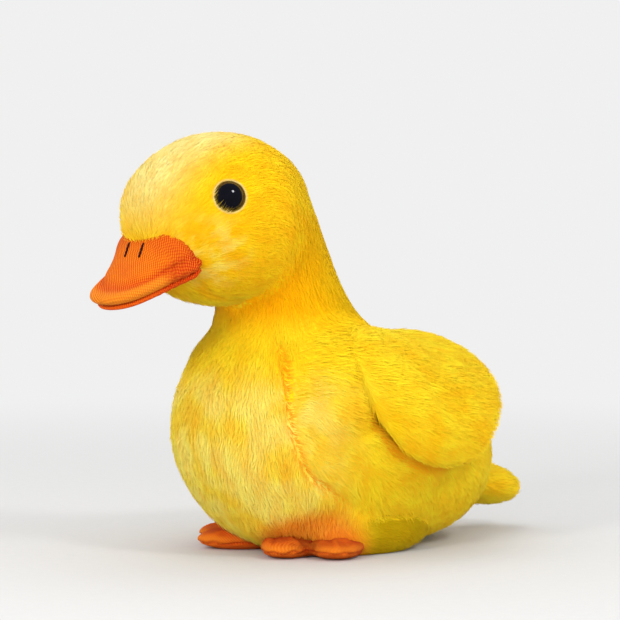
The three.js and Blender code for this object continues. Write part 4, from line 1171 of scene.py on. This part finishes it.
places, normals = owned(scattered("head", DENSITY, 23), head, neck)
from_eye = np.linalg.norm(to_left(places) - EYE, axis=-1)
clear = from_eye > EYE_RADIUS - 0.2 * MM
places, normals, from_eye = places[clear], normals[clear], from_eye[clear]
fan_middle = np.array([0, HEAD_FRONT + SHIFT + 8 * MM, 117 * MM])
behind = smooth_step(-68 * MM + SHIFT, -34 * MM + SHIFT, places[:, 1])[:, None]
comb = unit(places - fan_middle) * (1 - behind) + ways(places[:, 0] * 4, 0.3, -1) * behind
by_eye = smooth_step(9 * MM, 5 * MM, from_eye)
over_eye = (places[:, 1] < EYE[1] - MM) & (places[:, 2] < EYE[2] + 3 * MM)
over_eye &= (from_eye < EYE_RADIUS + 1.6 * MM) & (np.random.default_rng(6).random(len(places)) < 0.4)
length = HEAD_PILE * np.where(over_eye, 1, 1 - 0.45 * by_eye)
rise = np.where(over_eye, 2.4, 0.36 * (1 - 0.5 * behind[:, 0]) + 0.3 * by_eye)
# A faint shade is painted along the gusset's seams.
crease = groove(np.abs(places[:, 0]) - GUSSET_HALF, 1.2 * MM, 0.1)
regions = {
    "face_pile": np.abs(places[:, 0]) < GUSSET_HALF,
    "left_cheek_pile": places[:, 0] >= GUSSET_HALF,
    "right_cheek_pile": places[:, 0] <= -GUSSET_HALF,
}
for seed, (name, mine) in enumerate(regions.items(), 51):
    pile(name, (places[mine], normals[mine]), comb[mine], "duckling", yellow_pile, "yellow_plush",
         length[mine], rise[mine], crease[mine], seed, streak=(1, 0.6, 1))
print("strands on the neck and head", {name: grown[name] for name in ("neck_pile", *regions)})

# %% [markdown]
# The wings carry the body's pile on their outside, and a shorter and thinner one, painted with a little
# shade, on their lining. The legs are covered in a shorter plush, painted darker low at the rear as shade,
# and the tail in a slightly longer one.

# %% Pile of the wings, tail and legs
WING_PILE, LEG_PILE, TAIL_PILE = 5.0 * MM, 3.6 * MM, 5.2 * MM
for seed, side in enumerate(("left", "right"), 61):
    places, normals = scattered(f"{side}_wing", DENSITY, seed)
    inner = (normals * (1 if side == "left" else -1, 0, 0.3)).sum(-1) < -0.2
    kept = ~inner | (np.random.default_rng(seed).random(len(places)) < 0.5)
    places, normals, inner = places[kept], normals[kept], inner[kept] * 1.0
    # The lining's pile is painted with a little shade.
    pile(f"{side}_wing_pile", (places, normals), ways(0, 1, -0.5 + 0 * inner), f"{side}_wing", yellow_pile,
         "yellow_plush", WING_PILE * (1 - 0.3 * inner), 0.38 * (1 - 0.5 * inner), inner * 0.2, seed + 10,
         streak=(1, 0.4, 0.8))
    places, normals = owned(scattered(f"{side}_leg", DENSITY, seed + 20), legs[side], torso)
    kept = places[:, 2] > 0.4 * MM
    places, normals = places[kept], normals[kept]
    pile(f"{side}_leg_pile", (places, normals), ways(0, 0.8, -0.7 + 0 * places[:, 0]), "duckling",
         olive_pile, "yellow_plush", LEG_PILE, 0.36, 0, seed + 30)
places, normals = owned(scattered("tail", DENSITY, 24), tail, torso)
pile("tail_pile", (places, normals), ways(0, 1, -0.2 + 0 * places[:, 0]), "duckling", yellow_pile,
     "yellow_plush", TAIL_PILE, 0.38, 0, 71, streak=(1, 0.4, 1))
print("strands", sum(grown.values()), grown)

# %% [markdown]
# The bill and the feet are cut from a thin ribbed orange cloth. Its diagonal ribs follow the cloth and not
# the room, so they are drawn with the cloth's own measure, which the skins hold in metres.

# %% Ribbed orange cloth
RIB = 1.15 * MM


def ribbed_cloth(name, colour, shaded, light):
    """Smooth cloth with fine diagonal ribs crossed by fainter ones, and soft wear. Where the skin marks it,
    it is painted deeper, as shade and redness, and on the bands that it marks it is painted lighter, as
    light. The ribs are painted darker between them and lighter on top, as their shade and highlight."""
    sheen = srgb(255, 190, 120)
    paint = Paint(name, Roughness=0.8, Specular_IOR_Level=0.1, Sheen_Weight=0.03, Sheen_Tint=sheen)
    fold, band = paint.attribute("fold"), paint.attribute("band")
    u, v, _ = paint.split(paint.node("ShaderNodeUVMap", {"uv_map": "Cloth"}))
    turns = 2 * math.pi / RIB
    ribs = ((u * turns + v * (turns * 0.9)).math("SINE") * 0.5 + 0.5) * 0.65
    ribs = ribs + ((u * (turns * 0.8) - v * turns).math("SINE") * 0.5 + 0.5) * 0.35
    patches = paint.noise(paint.place(), 7 * MM, 3.0)
    fuzz = paint.noise(paint.place(), 0.35 * MM, 2.0, 0.7)
    tone = paint.mix(colour, shaded, paint.step(0.45, 0.75, patches) * 0.3)
    tone = paint.mix(tone, light, band * 0.6)
    tone = paint.mix(tone, shaded, fold)
    shade_between_ribs, lit_ribs = paint.tint(tone, srgb(226, 196, 180)), paint.mix(tone, light, 0.45)
    tone = paint.mix(shade_between_ribs, lit_ribs, paint.step(0.3, 0.85, ribs))
    paint.feed("Base Color", paint.tint(tone, srgb(225, 205, 190), fuzz * 0.8))
    paint.bump(ribs * 0.75 + fuzz * 0.25, 0.3 * MM)
    return paint.material


orange_cloth = ribbed_cloth("orange_cloth", srgb(234, 112, 2), srgb(214, 46, 2), srgb(250, 164, 44))
mouth_cloth = ribbed_cloth("mouth_cloth", srgb(244, 86, 4), srgb(220, 34, 2), srgb(250, 130, 30))
foot_cloth = ribbed_cloth("foot_cloth", srgb(244, 110, 2), srgb(206, 40, 2), srgb(250, 164, 50))


def mark(piece, label, grid_values):
    """Gives each point of a closed skin a value of its grid, under a label that the material reads."""
    inner = grid_values[1:-1].reshape(-1)
    give(piece, label, np.concatenate([grid_values[0, :1], inner, grid_values[-1, :1]]))


print("ribs", round(RIB / MM, 2), "mm apart")

# %% [markdown]
# The bill is a padded spoon in two halves: high where it leaves the face, dished over the middle, and low
# at its end. Both halves are stuffed forms along one sloping line, so that their rims keep an even gap.

# %% Forms of the bill
BILL_LENGTH, BILL_WIDTH, BILL_HEIGHT, BILL_SLOPE = 40 * MM, 38 * MM, 25 * MM, math.radians(26)
BILL_UNDER, LOWER_THICK, SEAM_GAP = 2.1 * MM, 4.2 * MM, 0.3 * MM
LOWER_LENGTH_SHARE, LOWER_WIDTH_SHARE = 0.98, 0.94
BILL_ROOT = np.array([0, HEAD_FRONT + 21.4 * MM + SHIFT, HEAD_MIDDLE - 13.5 * MM])
bill_way = np.array([0, -math.cos(BILL_SLOPE), -math.sin(BILL_SLOPE)])
bill_up = np.array([0, -math.sin(BILL_SLOPE), math.cos(BILL_SLOPE)])
BILL_SHARES = [(0, 1.3), (0.28, 1.25), (0.465, 0.96), (0.725, 0.88), (0.9, 0.95), (1, 1)]
upper_bill = Form(
    start=BILL_ROOT, way=bill_way, length=BILL_LENGTH, lift=bill_up, fullness=1.125,
    half=curve(BILL_SHARES, BILL_WIDTH / 2), below=steady(BILL_UNDER),
    above=curve([(0, 1.5), (0.2, 1.5), (0.33, 1.25), (0.434, 0.93), (0.554, 0.6), (0.78, 0.35), (0.9, 0.3),
                 (1, 0.3)], BILL_HEIGHT / 2),
)
lower_bill = Form(
    start=BILL_ROOT, way=bill_way, length=BILL_LENGTH * LOWER_LENGTH_SHARE, lift=bill_up, fullness=1.125,
    half=curve(BILL_SHARES, BILL_WIDTH / 2 * LOWER_WIDTH_SHARE), above=steady(LOWER_THICK / 3),
    below=steady(LOWER_THICK * 2 / 3), offset=steady(-BILL_UNDER - SEAM_GAP - LOWER_THICK / 3),
)
bill_tip = upper_bill.point(np.array([1.0]), np.array([0.0]))[0]
print("bill tip at", (bill_tip / MM).round(1), "mm")

# %% [markdown]
# A fold of cloth is turned round the bill's rim like piping. A bevel would turn it evenly all round, while
# the real fold fades into the face. So the fold is a ridge with a furrow above it, both bell curves over
# the height above the rim, and wrinkles fan out from the corners of the mouth.

# %% The sewn bill
def bill_part(name, form, replaced, material, slot_name, relief):
    """One half of the bill: its form's grid with a relief, a height off the cloth for each place, and its
    marks."""
    grid = form.grid(120, 170)
    height, fold, band = relief(grid)
    grid += grid_normals(grid) * height[..., None]
    piece = stuffed(name, grid, "duckling", slot_name, replaced, material)
    mark(piece, "fold", np.clip(fold, 0, 1))
    mark(piece, "band", np.clip(band, 0, 1))


def bill_places(grid):
    """How far along the bill each place lies, as a share, how high over its widest line, and how near to
    its side edge, from 0 at the middle to 1."""
    away = grid - BILL_ROOT
    t = away @ bill_way / BILL_LENGTH
    held = np.clip(t, 0.01, 0.99)
    return t, away @ bill_up, np.abs(grid[..., 0]) / (upper_bill.half(held) * drawn_in(held))


ruffle_of_cloth = Ripple(5 * MM, 9)
GATHER_PITCH = 3.4 * MM


def gathers(grid, t, high):
    """Wrinkles that fan out from the mouth corner: sines across lines that run down and forward from it."""
    spread = (t * BILL_LENGTH + 0.8 * high) + 0.5 * MM * ruffle_of_cloth(grid)
    return np.sin(2 * np.pi * spread / GATHER_PITCH)


def upper_relief(grid):
    """The turned rim, the furrow over it, and gathers where the cloth runs into the face."""
    t, high, side = bill_places(grid)
    on_top = smooth_step(-0.5 * MM, 0.3 * MM, high)
    at_edge = np.maximum(smooth_step(0.7, 0.9, side), smooth_step(0.85, 0.95, t))
    rim = groove(high + 1.2 * MM, 2.0 * MM, 1.9 * MM) * at_edge
    furrow = groove(high - 2.6 * MM, 0.8 * MM, 1.0) * on_top * smooth_step(0.3, 0.45, t)
    corner = smooth_step(0.62, 0.46, t) * smooth_step(6 * MM, 3 * MM, high) * smooth_step(0.75, 0.92, side)
    height = rim - furrow * 0.9 * MM + gathers(grid, t, high) * corner * 0.28 * MM
    # The furrow is painted deeper as shade, the mouth's corners and the bill towards the face are painted
    # redder, and the piping and the top of the tip are painted lighter, as light.
    redder = 0.6 * smooth_step(0.5, 0.34, t)
    band = groove(high, 1.5 * MM, 1.3) * (1 - corner) + 0.7 * smooth_step(0.78, 0.95, t) * on_top
    return height, furrow * 0.8 + corner * 0.8 + redder, band


def lower_relief(grid):
    """The lip that closes the mouth, and gathers that run down from its corners."""
    t, high, side = bill_places(grid)
    at_edge = np.maximum(smooth_step(0.5, 0.8, side), smooth_step(0.7, 0.9, t))
    lip = groove(high + 3.4 * MM, 1.3 * MM, 0.6 * MM) * at_edge
    corner = smooth_step(0.75, 0.5, t) * smooth_step(0.4, 0.8, side)
    height = lip + gathers(grid, t, high) * corner * 0.2 * MM
    # The lip is painted lighter along its edge, as light, and the mouth's corners redder.
    band = groove(high + 3.6 * MM, 0.8 * MM, 0.6) * (1 - corner)
    return height, corner * (0.5 + 0.4 * gathers(grid, t, high)), band


bill_part("upper_bill_case", upper_bill, ["upper_bill", "palate", "upper_bill_wadding"], orange_cloth,
          "orange_cloth", upper_relief)
bill_part("lower_bill_case", lower_bill, ["lower_bill", "lower_bill_wadding"], mouth_cloth, "mouth_cloth",
          lower_relief)
print("the mouth's gap is", round(SEAM_GAP / MM, 1), "mm wide")

# %% [markdown]
# A foot is two padded toes sewn side by side. Both toes together are star-shaped: from the foot's middle
# every direction meets the surface once. So the surface is found by halving the distance along rays from
# the middle.

# %% Feet
FOOT_LENGTH, TOE_WIDTH, TOE_OVERLAP = 35 * MM, 21 * MM, 3.2 * MM
TOE_SPREAD, FOOT_SPLAY = math.radians(7), math.radians(40)
SOLE_SHARE = 0.3  # of the thickness, where the sole is sewn to the top


def turned(vector, angle):
    """A vector turned about the vertical."""
    c, s = math.cos(angle), math.sin(angle)
    return np.array([vector[0] * c - vector[1] * s, vector[0] * s + vector[1] * c, vector[2]])


def toe_form(side):
    """The left foot's outer toe for side 1, its inner toe for side -1."""
    angle = FOOT_SPLAY + side * TOE_SPREAD
    middle = FOOT_MIDDLE + turned(X * side * (TOE_WIDTH - TOE_OVERLAP) / 2, FOOT_SPLAY)
    way = turned(-Y, angle)
    return Form(
        start=middle - way * FOOT_LENGTH / 2, way=way, length=FOOT_LENGTH, lift=Z, fullness=1.15,
        half=steady(TOE_WIDTH / 2), above=steady(FOOT_THICK / 2), below=steady(FOOT_THICK / 2),
    )


toes = [toe_form(1), toe_form(-1)]


def foot_gap(places):
    """The distance to the foot, with the crease between its toes rounded off."""
    return joined(toes[0].gap(places), toes[1].gap(places), 3 * MM)


def star(middle, gap, rows, columns, reach, flatness):
    """The surface where the gap is zero, on rays from the middle, by halving. Flatness draws the rays
    together towards the level plane, so that a flat shape gets most of its rows round its edge."""
    rise = np.linspace(np.pi / 2, -np.pi / 2, rows)[:, None]
    angle = np.linspace(0, 2 * np.pi, columns, endpoint=False)[None, :]
    rays = np.stack(np.broadcast_arrays(
        np.cos(rise) * np.cos(angle), np.cos(rise) * np.sin(angle), np.sin(rise) * flatness
    ), -1)
    near, far = np.zeros(rays.shape[:-1]), np.full(rays.shape[:-1], reach)
    for _ in range(18):
        half = (near + far) / 2
        inside = gap(middle + rays * half[..., None]) < 0
        near, far = np.where(inside, half, near), np.where(inside, far, half)
    return middle + rays * near[..., None]


print("toe middles", [(toe.start + toe.way * toe.length / 2).round(4) for toe in toes])

# %% [markdown]
# The foot's cloth gets its sewing next: a seam with small puckers round the sole, a dent between the toes,
# and creases that run along them on top. Where the foot comes out of the fur, the fur's shadow is painted on
# it in a deeper colour, shade is painted in the seam, the dent and the creases, and light on a band round its
# middle.

# %% The sewn foot
SOLE_SEAM_WIDTH, PUCKER_BAND, PUCKERS_ROUND = 0.7 * MM, 1.9 * MM, 40
left_foot = star(FOOT_MIDDLE, foot_gap, 84, 180, 60 * MM, 0.25)
seam_height = FOOT_THICK * SOLE_SHARE + 0.5 * MM * ruffle_of_cloth(left_foot)
over_seam = left_foot[..., 2] - seam_height
sole_seam = groove(over_seam, SOLE_SEAM_WIDTH, 1.0)
around = np.arctan2(left_foot[..., 1] - FOOT_Y, left_foot[..., 0] - FOOT_OFFSET)
puckers = 0.18 * MM * np.sin(around * PUCKERS_ROUND + 2 * ruffle_of_cloth(left_foot))
puckers = puckers * groove(over_seam, PUCKER_BAND, 1.0)
ahead = (left_foot - FOOT_MIDDLE) @ turned(-Y, FOOT_SPLAY)
aside = (left_foot - FOOT_MIDDLE) @ turned(X, FOOT_SPLAY)
between = groove(aside, 2.2 * MM, 1.0) * smooth_step(6 * MM, 14 * MM, ahead)
upper = smooth_step(FOOT_THICK * 0.5, FOOT_THICK * 0.8, left_foot[..., 2])
creases = np.sin(aside / (1.5 * MM) + 1.6 * ruffle_of_cloth(left_foot * (1, 1, 0.3))) * upper
relief = 0.4 * MM * creases - 0.5 * MM * sole_seam - puckers - 0.9 * MM * between
left_foot = left_foot + grid_normals(left_foot) * relief[..., None]
high = left_foot[..., 2]
# The fur's shadow is painted where the foot comes out of the fur and on its top, and shade in its seam,
# between its toes and in its creases.
fur_shadow = 0.5 * smooth_step(12 * MM, 3 * MM, ahead)
fur_shadow = fur_shadow + 0.35 * smooth_step(FOOT_THICK * 0.6, FOOT_THICK * 0.9, high)
fold = np.clip(0.7 * sole_seam + between + fur_shadow + upper * (0.35 - 0.35 * creases), 0, 1)
# A band of painted light runs round the foot's middle, as light from the front brightens its lower half.
band = groove(high - FOOT_THICK * 0.5, 1.4 * MM, 0.8) * (1 - between)
for side, grid in (("left", left_foot), ("right", mirrored(left_foot))):
    parts = [f"{side}_foot_{part}" for part in ("top", "sole", "wadding")]
    piece = stuffed(f"{side}_foot_case", grid.copy(), f"{side}_foot", "foot_cloth", parts, foot_cloth)
    mark(piece, "fold", fold)
    mark(piece, "band", band)
print("foot relief", (relief.min() / MM).round(2), "to", (relief.max() / MM).round(2), "mm")

# %% [markdown]
# The eyes are moulded buttons: a post, a thin flange, then a dome. A squashed ball would have no rim, so a
# profile is turned instead. A very smooth surface gives the small bright reflection that brings the face
# to life.

# %% Eyes
EYE_HEIGHT, EYE_SINK, EYE_FLANGE, POST_RADIUS, POST_LENGTH = 3.7 * MM, 1.0 * MM, 0.9 * MM, 1.6 * MM, 10 * MM


def eye_axis():
    """The direction square to the cloth at the left eye, as an ellipsoid has it."""
    away = EYE - np.array([0, HEAD_FRONT + SHIFT + HEAD_LENGTH / 2, HEAD_MIDDLE])
    return unit(away / np.array([HEAD_WIDTH, HEAD_LENGTH, HEAD_HEIGHT]) ** 2)


def turned_grid(profile, middle, axis, columns):
    """A profile of radius and height, turned about an axis."""
    aside = unit(np.cross(axis, Z))
    other = np.cross(axis, aside)
    angle = np.linspace(0, 2 * np.pi, columns, endpoint=False)[None, :, None]
    radius, height = profile[:, 0, None, None], profile[:, 1, None, None]
    return middle + axis * height + radius * (aside * np.cos(angle) + other * np.sin(angle))


dome = np.linspace(0, np.pi / 2, 26)
edge = np.linspace(-np.pi / 2, 0, 8)
post = [
    [0, -EYE_SINK - POST_LENGTH], [POST_RADIUS * 0.9, -EYE_SINK - POST_LENGTH],
    [POST_RADIUS, -EYE_SINK - 0.9 * POST_LENGTH], [POST_RADIUS, -EYE_SINK - 0.2 * MM],
    [POST_RADIUS + 0.2 * MM, -EYE_SINK],
]
flange = [EYE_RADIUS - EYE_FLANGE / 2 + EYE_FLANGE / 2 * np.cos(edge),
          -EYE_SINK + EYE_FLANGE / 2 + EYE_FLANGE / 2 * np.sin(edge)]
cap = [EYE_RADIUS * np.cos(dome), -EYE_SINK + EYE_FLANGE / 2 + 0.1 * MM + EYE_HEIGHT * np.sin(dome)]
profile = np.concatenate([post, np.stack(flange, -1), np.stack(cap, -1)])
profile[-1, 0] = 0
paint = Paint("eye_plastic", Roughness=0.05, IOR=1.45)
smears = paint.noise(paint.place(), 3 * MM, 2.0)
paint.feed("Base Color", paint.mix(srgb(6, 6, 12), srgb(14, 14, 24), smears))
paint.feed("Roughness", smears * 0.05 + 0.03)
eye_plastic = paint.material
left_eye = turned_grid(profile, EYE, eye_axis(), 72)
for side, grid in (("left", left_eye), ("right", mirrored(left_eye))):
    piece = closed_skin(f"{side}_button_eye", grid)
    finish_piece(piece, eye_plastic, "eye_plastic", "duckling", f"{side}_eye")
print("eye axis", eye_axis().round(3))

# %% [markdown]
# Sewing thread is two plies twisted together. They could be two helices, but one round tube whose radius
# swells twice on each turn, with the swell winding along the tube, shows the twist with fewer points.

# %% Thread
THREAD_RADIUS, PLY_SWELL, PLY_PITCH = 0.5 * MM, 0.18, 1.4 * MM


def twisted(name, line, material, slot_name, body, replaced, columns=20):
    """A two-ply thread along a line of points: radius * (1 + swell * cos(2 * angle - turns along the
    line))."""
    way = unit(np.gradient(line, axis=0))
    aside = unit(np.cross(way, Z + 0.3 * X))
    other = np.cross(way, aside)
    along = np.concatenate([[0], np.cumsum(np.linalg.norm(np.diff(line, axis=0), axis=1))])
    angle = np.linspace(0, 2 * np.pi, columns, endpoint=False)[None, :]
    swell = 1 + PLY_SWELL * np.cos(2 * angle - (2 * np.pi * along / PLY_PITCH)[:, None])
    taper = np.sqrt(np.clip(1 - (2 * along / along[-1] - 1) ** 8, 0, 1))[:, None]
    ring = (THREAD_RADIUS * swell * taper)[..., None]
    turn = aside[:, None] * np.cos(angle)[..., None] + other[:, None] * np.sin(angle)[..., None]
    finish_piece(closed_skin(name, line[:, None] + ring * turn), material, slot_name, body, replaced)


def thread_material(name, colour, deep):
    """Spun thread: fine lengthwise fibres and a soft shine."""
    paint = Paint(name, Roughness=0.6, Specular_IOR_Level=0.2)
    fibres = paint.noise(paint.place(), 0.25 * MM, 2.0, 0.7)
    paint.feed("Base Color", paint.mix(colour, deep, fibres))
    paint.bump(fibres, 0.08 * MM)
    return paint.material


dark_thread = thread_material("dark_thread", srgb(60, 14, 10), srgb(28, 6, 6))
foot_thread = thread_material("foot_thread", srgb(176, 50, 10), srgb(120, 24, 6))
yellow_thread = thread_material("yellow_thread", srgb(232, 196, 40), srgb(200, 160, 30))
print("the twist repeats each", round(PLY_PITCH / MM, 1), "mm")

# %% [markdown]
# Each stitch lies on the cloth that it was sewn into, so its line is worked out from that cloth's own form:
# the nostrils from the bill's, the toe stitches from the foot's. The belly's opening is closed by hand with
# a thread that runs to and fro.

# %% Stitches
NOSTRIL_LENGTH, NOSTRIL_OFFSET, NOSTRIL_SHARE = 4.6 * MM, 4.3 * MM, 0.475
t = NOSTRIL_SHARE + np.linspace(-0.5, 0.5, 40) * NOSTRIL_LENGTH / BILL_LENGTH
wide = upper_bill.half(t) * drawn_in(t)
power = 2 * upper_bill.fullness
high = (1 - (NOSTRIL_OFFSET / wide) ** power) ** (1 / power) * upper_bill.above(t) * drawn_in(t)
nostril = BILL_ROOT + bill_way * (BILL_LENGTH * t)[:, None] + bill_up * high[:, None] + X * NOSTRIL_OFFSET
for side, line in (("left", nostril), ("right", mirrored(nostril))):
    twisted(f"{side}_nostril_thread", line, dark_thread, "dark_thread", "duckling", f"{side}_nostril_stitch")

STITCH_INSET, STITCH_LENGTH = 9 * MM, 9 * MM
ahead = FOOT_LENGTH / 2 - STITCH_INSET - STITCH_LENGTH * np.linspace(0, 1, 60)
line = FOOT_MIDDLE * (1, 1, 0) + turned(-Y, FOOT_SPLAY) * ahead[:, None] + Z * 0.7 * FOOT_THICK
for side, route in (("left", line), ("right", mirrored(line))):
    twisted(f"{side}_toe_thread", route, foot_thread, "foot_thread", f"{side}_foot", f"{side}_toe_stitch")

SLIT_LENGTH, SLIT_WIDTH, SLIT_Y, STITCH_PITCH = 30 * MM, 1.6 * MM, 16 * MM + SHIFT, 3.4 * MM
stitches = int(SLIT_LENGTH / STITCH_PITCH)
steps = np.arange(stitches + 1)
to_and_fro = np.where(steps % 2, 1, -1) * SLIT_WIDTH
zigzag = np.stack([to_and_fro, SLIT_Y + (steps - stitches / 2) * STITCH_PITCH, 0 * steps + 1.2 * MM], -1)
route = smooth_line(zigzag, 240)
twisted("belly_thread", route, yellow_thread, "yellow_thread", "duckling", "closing_thread")
print("closing thread", stitches, "stitches")

# %% [markdown]
# The lock washers stay as the CAD model has them, since a stamped plastic ring has nothing to add but its
# finish.

# %% Washers
paint = Paint("washer_plastic", Roughness=0.5)
grain = paint.noise(paint.place(), 0.8 * MM, 3.0)
paint.feed("Base Color", paint.mix(srgb(240, 240, 238), srgb(222, 222, 218), grain))
paint.feed("Roughness", grain * 0.2 + 0.4)
for side in ("left", "right"):
    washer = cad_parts[f"{side}_eye_washer"]
    washer.data.materials.clear()
    washer.data.materials.append(paint.material)
print("washers keep", len(washer.data.polygons), "faces each")

# %% [markdown]
# The toy sits on a plain pale floor. A curved studio sheet would need room behind the toy. Here the floor
# is flat, and far from the toy it takes on the background's own brightness, so no horizon shows, while near
# the toy it keeps the toy's shadow.

# %% Floor
BACKGROUND = srgb(240, 240, 240)
IN_GLOSS = 0.12  # how bright gloss mirrors the studio, which is dim so that the eyes stay deep
FLOOR_FADE = 0.22, 0.75  # from where to where the floor turns into the background
FLOOR_RADIUS = 3.0


def stage_floor(radius):
    """A level square with its middle under the toy."""
    corners = np.array([[-1, -1, 0], [1, -1, 0], [1, 1, 0], [-1, 1, 0]]) * radius - Z * 0.05 * MM
    floor = put("floor", corners, [np.array([[0, 1, 2, 3]])])
    paint = Paint("floor", Roughness=0.9)
    place = paint.place()
    x, y, _ = paint.split(place)
    speckle = paint.noise(place, 4 * MM, 2.0)
    paint.feed("Base Color", paint.mix(srgb(206, 206, 206), srgb(211, 211, 210), speckle))
    distance = (x * x + y * y).math("SQRT")
    glow = paint.node("ShaderNodeEmission", inputs={"Color": BACKGROUND})
    ground = Value(paint, paint.shader.outputs[0])
    far = paint.step(*FLOOR_FADE, distance)
    seen = paint.node("ShaderNodeMixShader", inputs={0: far, 1: ground, 2: glow})
    dim = paint.node("ShaderNodeEmission", inputs={"Color": BACKGROUND, "Strength": IN_GLOSS})
    in_gloss = paint.node("ShaderNodeLightPath", output="Is Glossy Ray")
    floor_or_gloss = paint.node("ShaderNodeMixShader", inputs={0: in_gloss, 1: seen, 2: dim})
    output = paint.tree.nodes["Material Output"]
    paint.tree.links.new(floor_or_gloss.socket, output.inputs["Surface"])
    floor.data.materials.append(paint.material)


stage_floor(FLOOR_RADIUS)
print("the floor fades from", FLOOR_FADE[0], "to", FLOOR_FADE[1], "m from the toy's middle")

# %% [markdown]
# Most of the light comes from an even sky, as in a soft studio tent. An image of a real studio could stand
# in for it, but a plain colour keeps the yellow true. Gloss mirrors it dimly, or the eyes would turn grey.

# %% Background
SKY = 1.02


def background(strength):
    """An even sky that lights the toy. The camera sees it as the pale background, and gloss reflects it
    dimly."""
    world = bpy.data.worlds.new("studio")
    bpy.context.scene.world = world
    world.use_nodes = True
    tree = world.node_tree
    seen, lit = tree.nodes["Background"], tree.nodes.new("ShaderNodeBackground")
    seen.inputs[0].default_value, lit.inputs[0].default_value = BACKGROUND, (1, 1, 1, 1)
    ray, mixer = tree.nodes.new("ShaderNodeLightPath"), tree.nodes.new("ShaderNodeMixShader")
    shown = tree.nodes.new("ShaderNodeMath")
    shown.operation = "MAXIMUM"
    tree.links.new(ray.outputs["Is Camera Ray"], shown.inputs[0])
    tree.links.new(ray.outputs["Is Transmission Ray"], shown.inputs[1])
    dimmer = tree.nodes.new("ShaderNodeMapRange")
    dimmer.inputs["To Min"].default_value, dimmer.inputs["To Max"].default_value = strength, IN_GLOSS
    tree.links.new(ray.outputs["Is Glossy Ray"], dimmer.inputs["Value"])
    tree.links.new(dimmer.outputs[0], lit.inputs[1])
    tree.links.new(shown.outputs[0], mixer.inputs[0])
    tree.links.new(lit.outputs[0], mixer.inputs[1])
    tree.links.new(seen.outputs[0], mixer.inputs[2])
    tree.links.new(mixer.outputs[0], tree.nodes["World Output"].inputs[0])


background(SKY)
print("the sky's strength is", SKY)

# %% [markdown]
# Large round lamps add a soft direction to the light. They could all shine in the eyes, but one clear spark
# is what a button eye shows, so only one of them is mirrored in gloss.

# %% Lamps
TOY_MIDDLE = Vector((0, 0, 0.08))


def soft_light(name, place, size, watts, shines=False):
    """A round lamp that faces the toy's middle. Only the one that shines is mirrored in gloss."""
    lamp = bpy.data.lights.new(name, "AREA")
    lamp.shape, lamp.size, lamp.energy = "DISK", size, watts
    holder = bpy.data.objects.new(name, lamp)
    bpy.context.scene.collection.objects.link(holder)
    holder.location = place
    holder.visible_glossy = shines
    holder.rotation_mode = "QUATERNION"
    holder.rotation_quaternion = (TOY_MIDDLE - Vector(place)).to_track_quat("-Z", "Y")


soft_light("key", (0.35, -1.05, 0.55), 0.3, 5)
soft_light("front", (0.95, -0.75, 0.2), 0.7, 3.2)
soft_light("side", (0.92, 0.07, 0.88), 0.26, 3.2, shines=True)
soft_light("top", (-0.3, 0.1, 1.2), 0.8, 2)
bpy.context.scene.view_settings.view_transform = "Standard"
print("lamps", [lamp.name for lamp in bpy.data.lights])
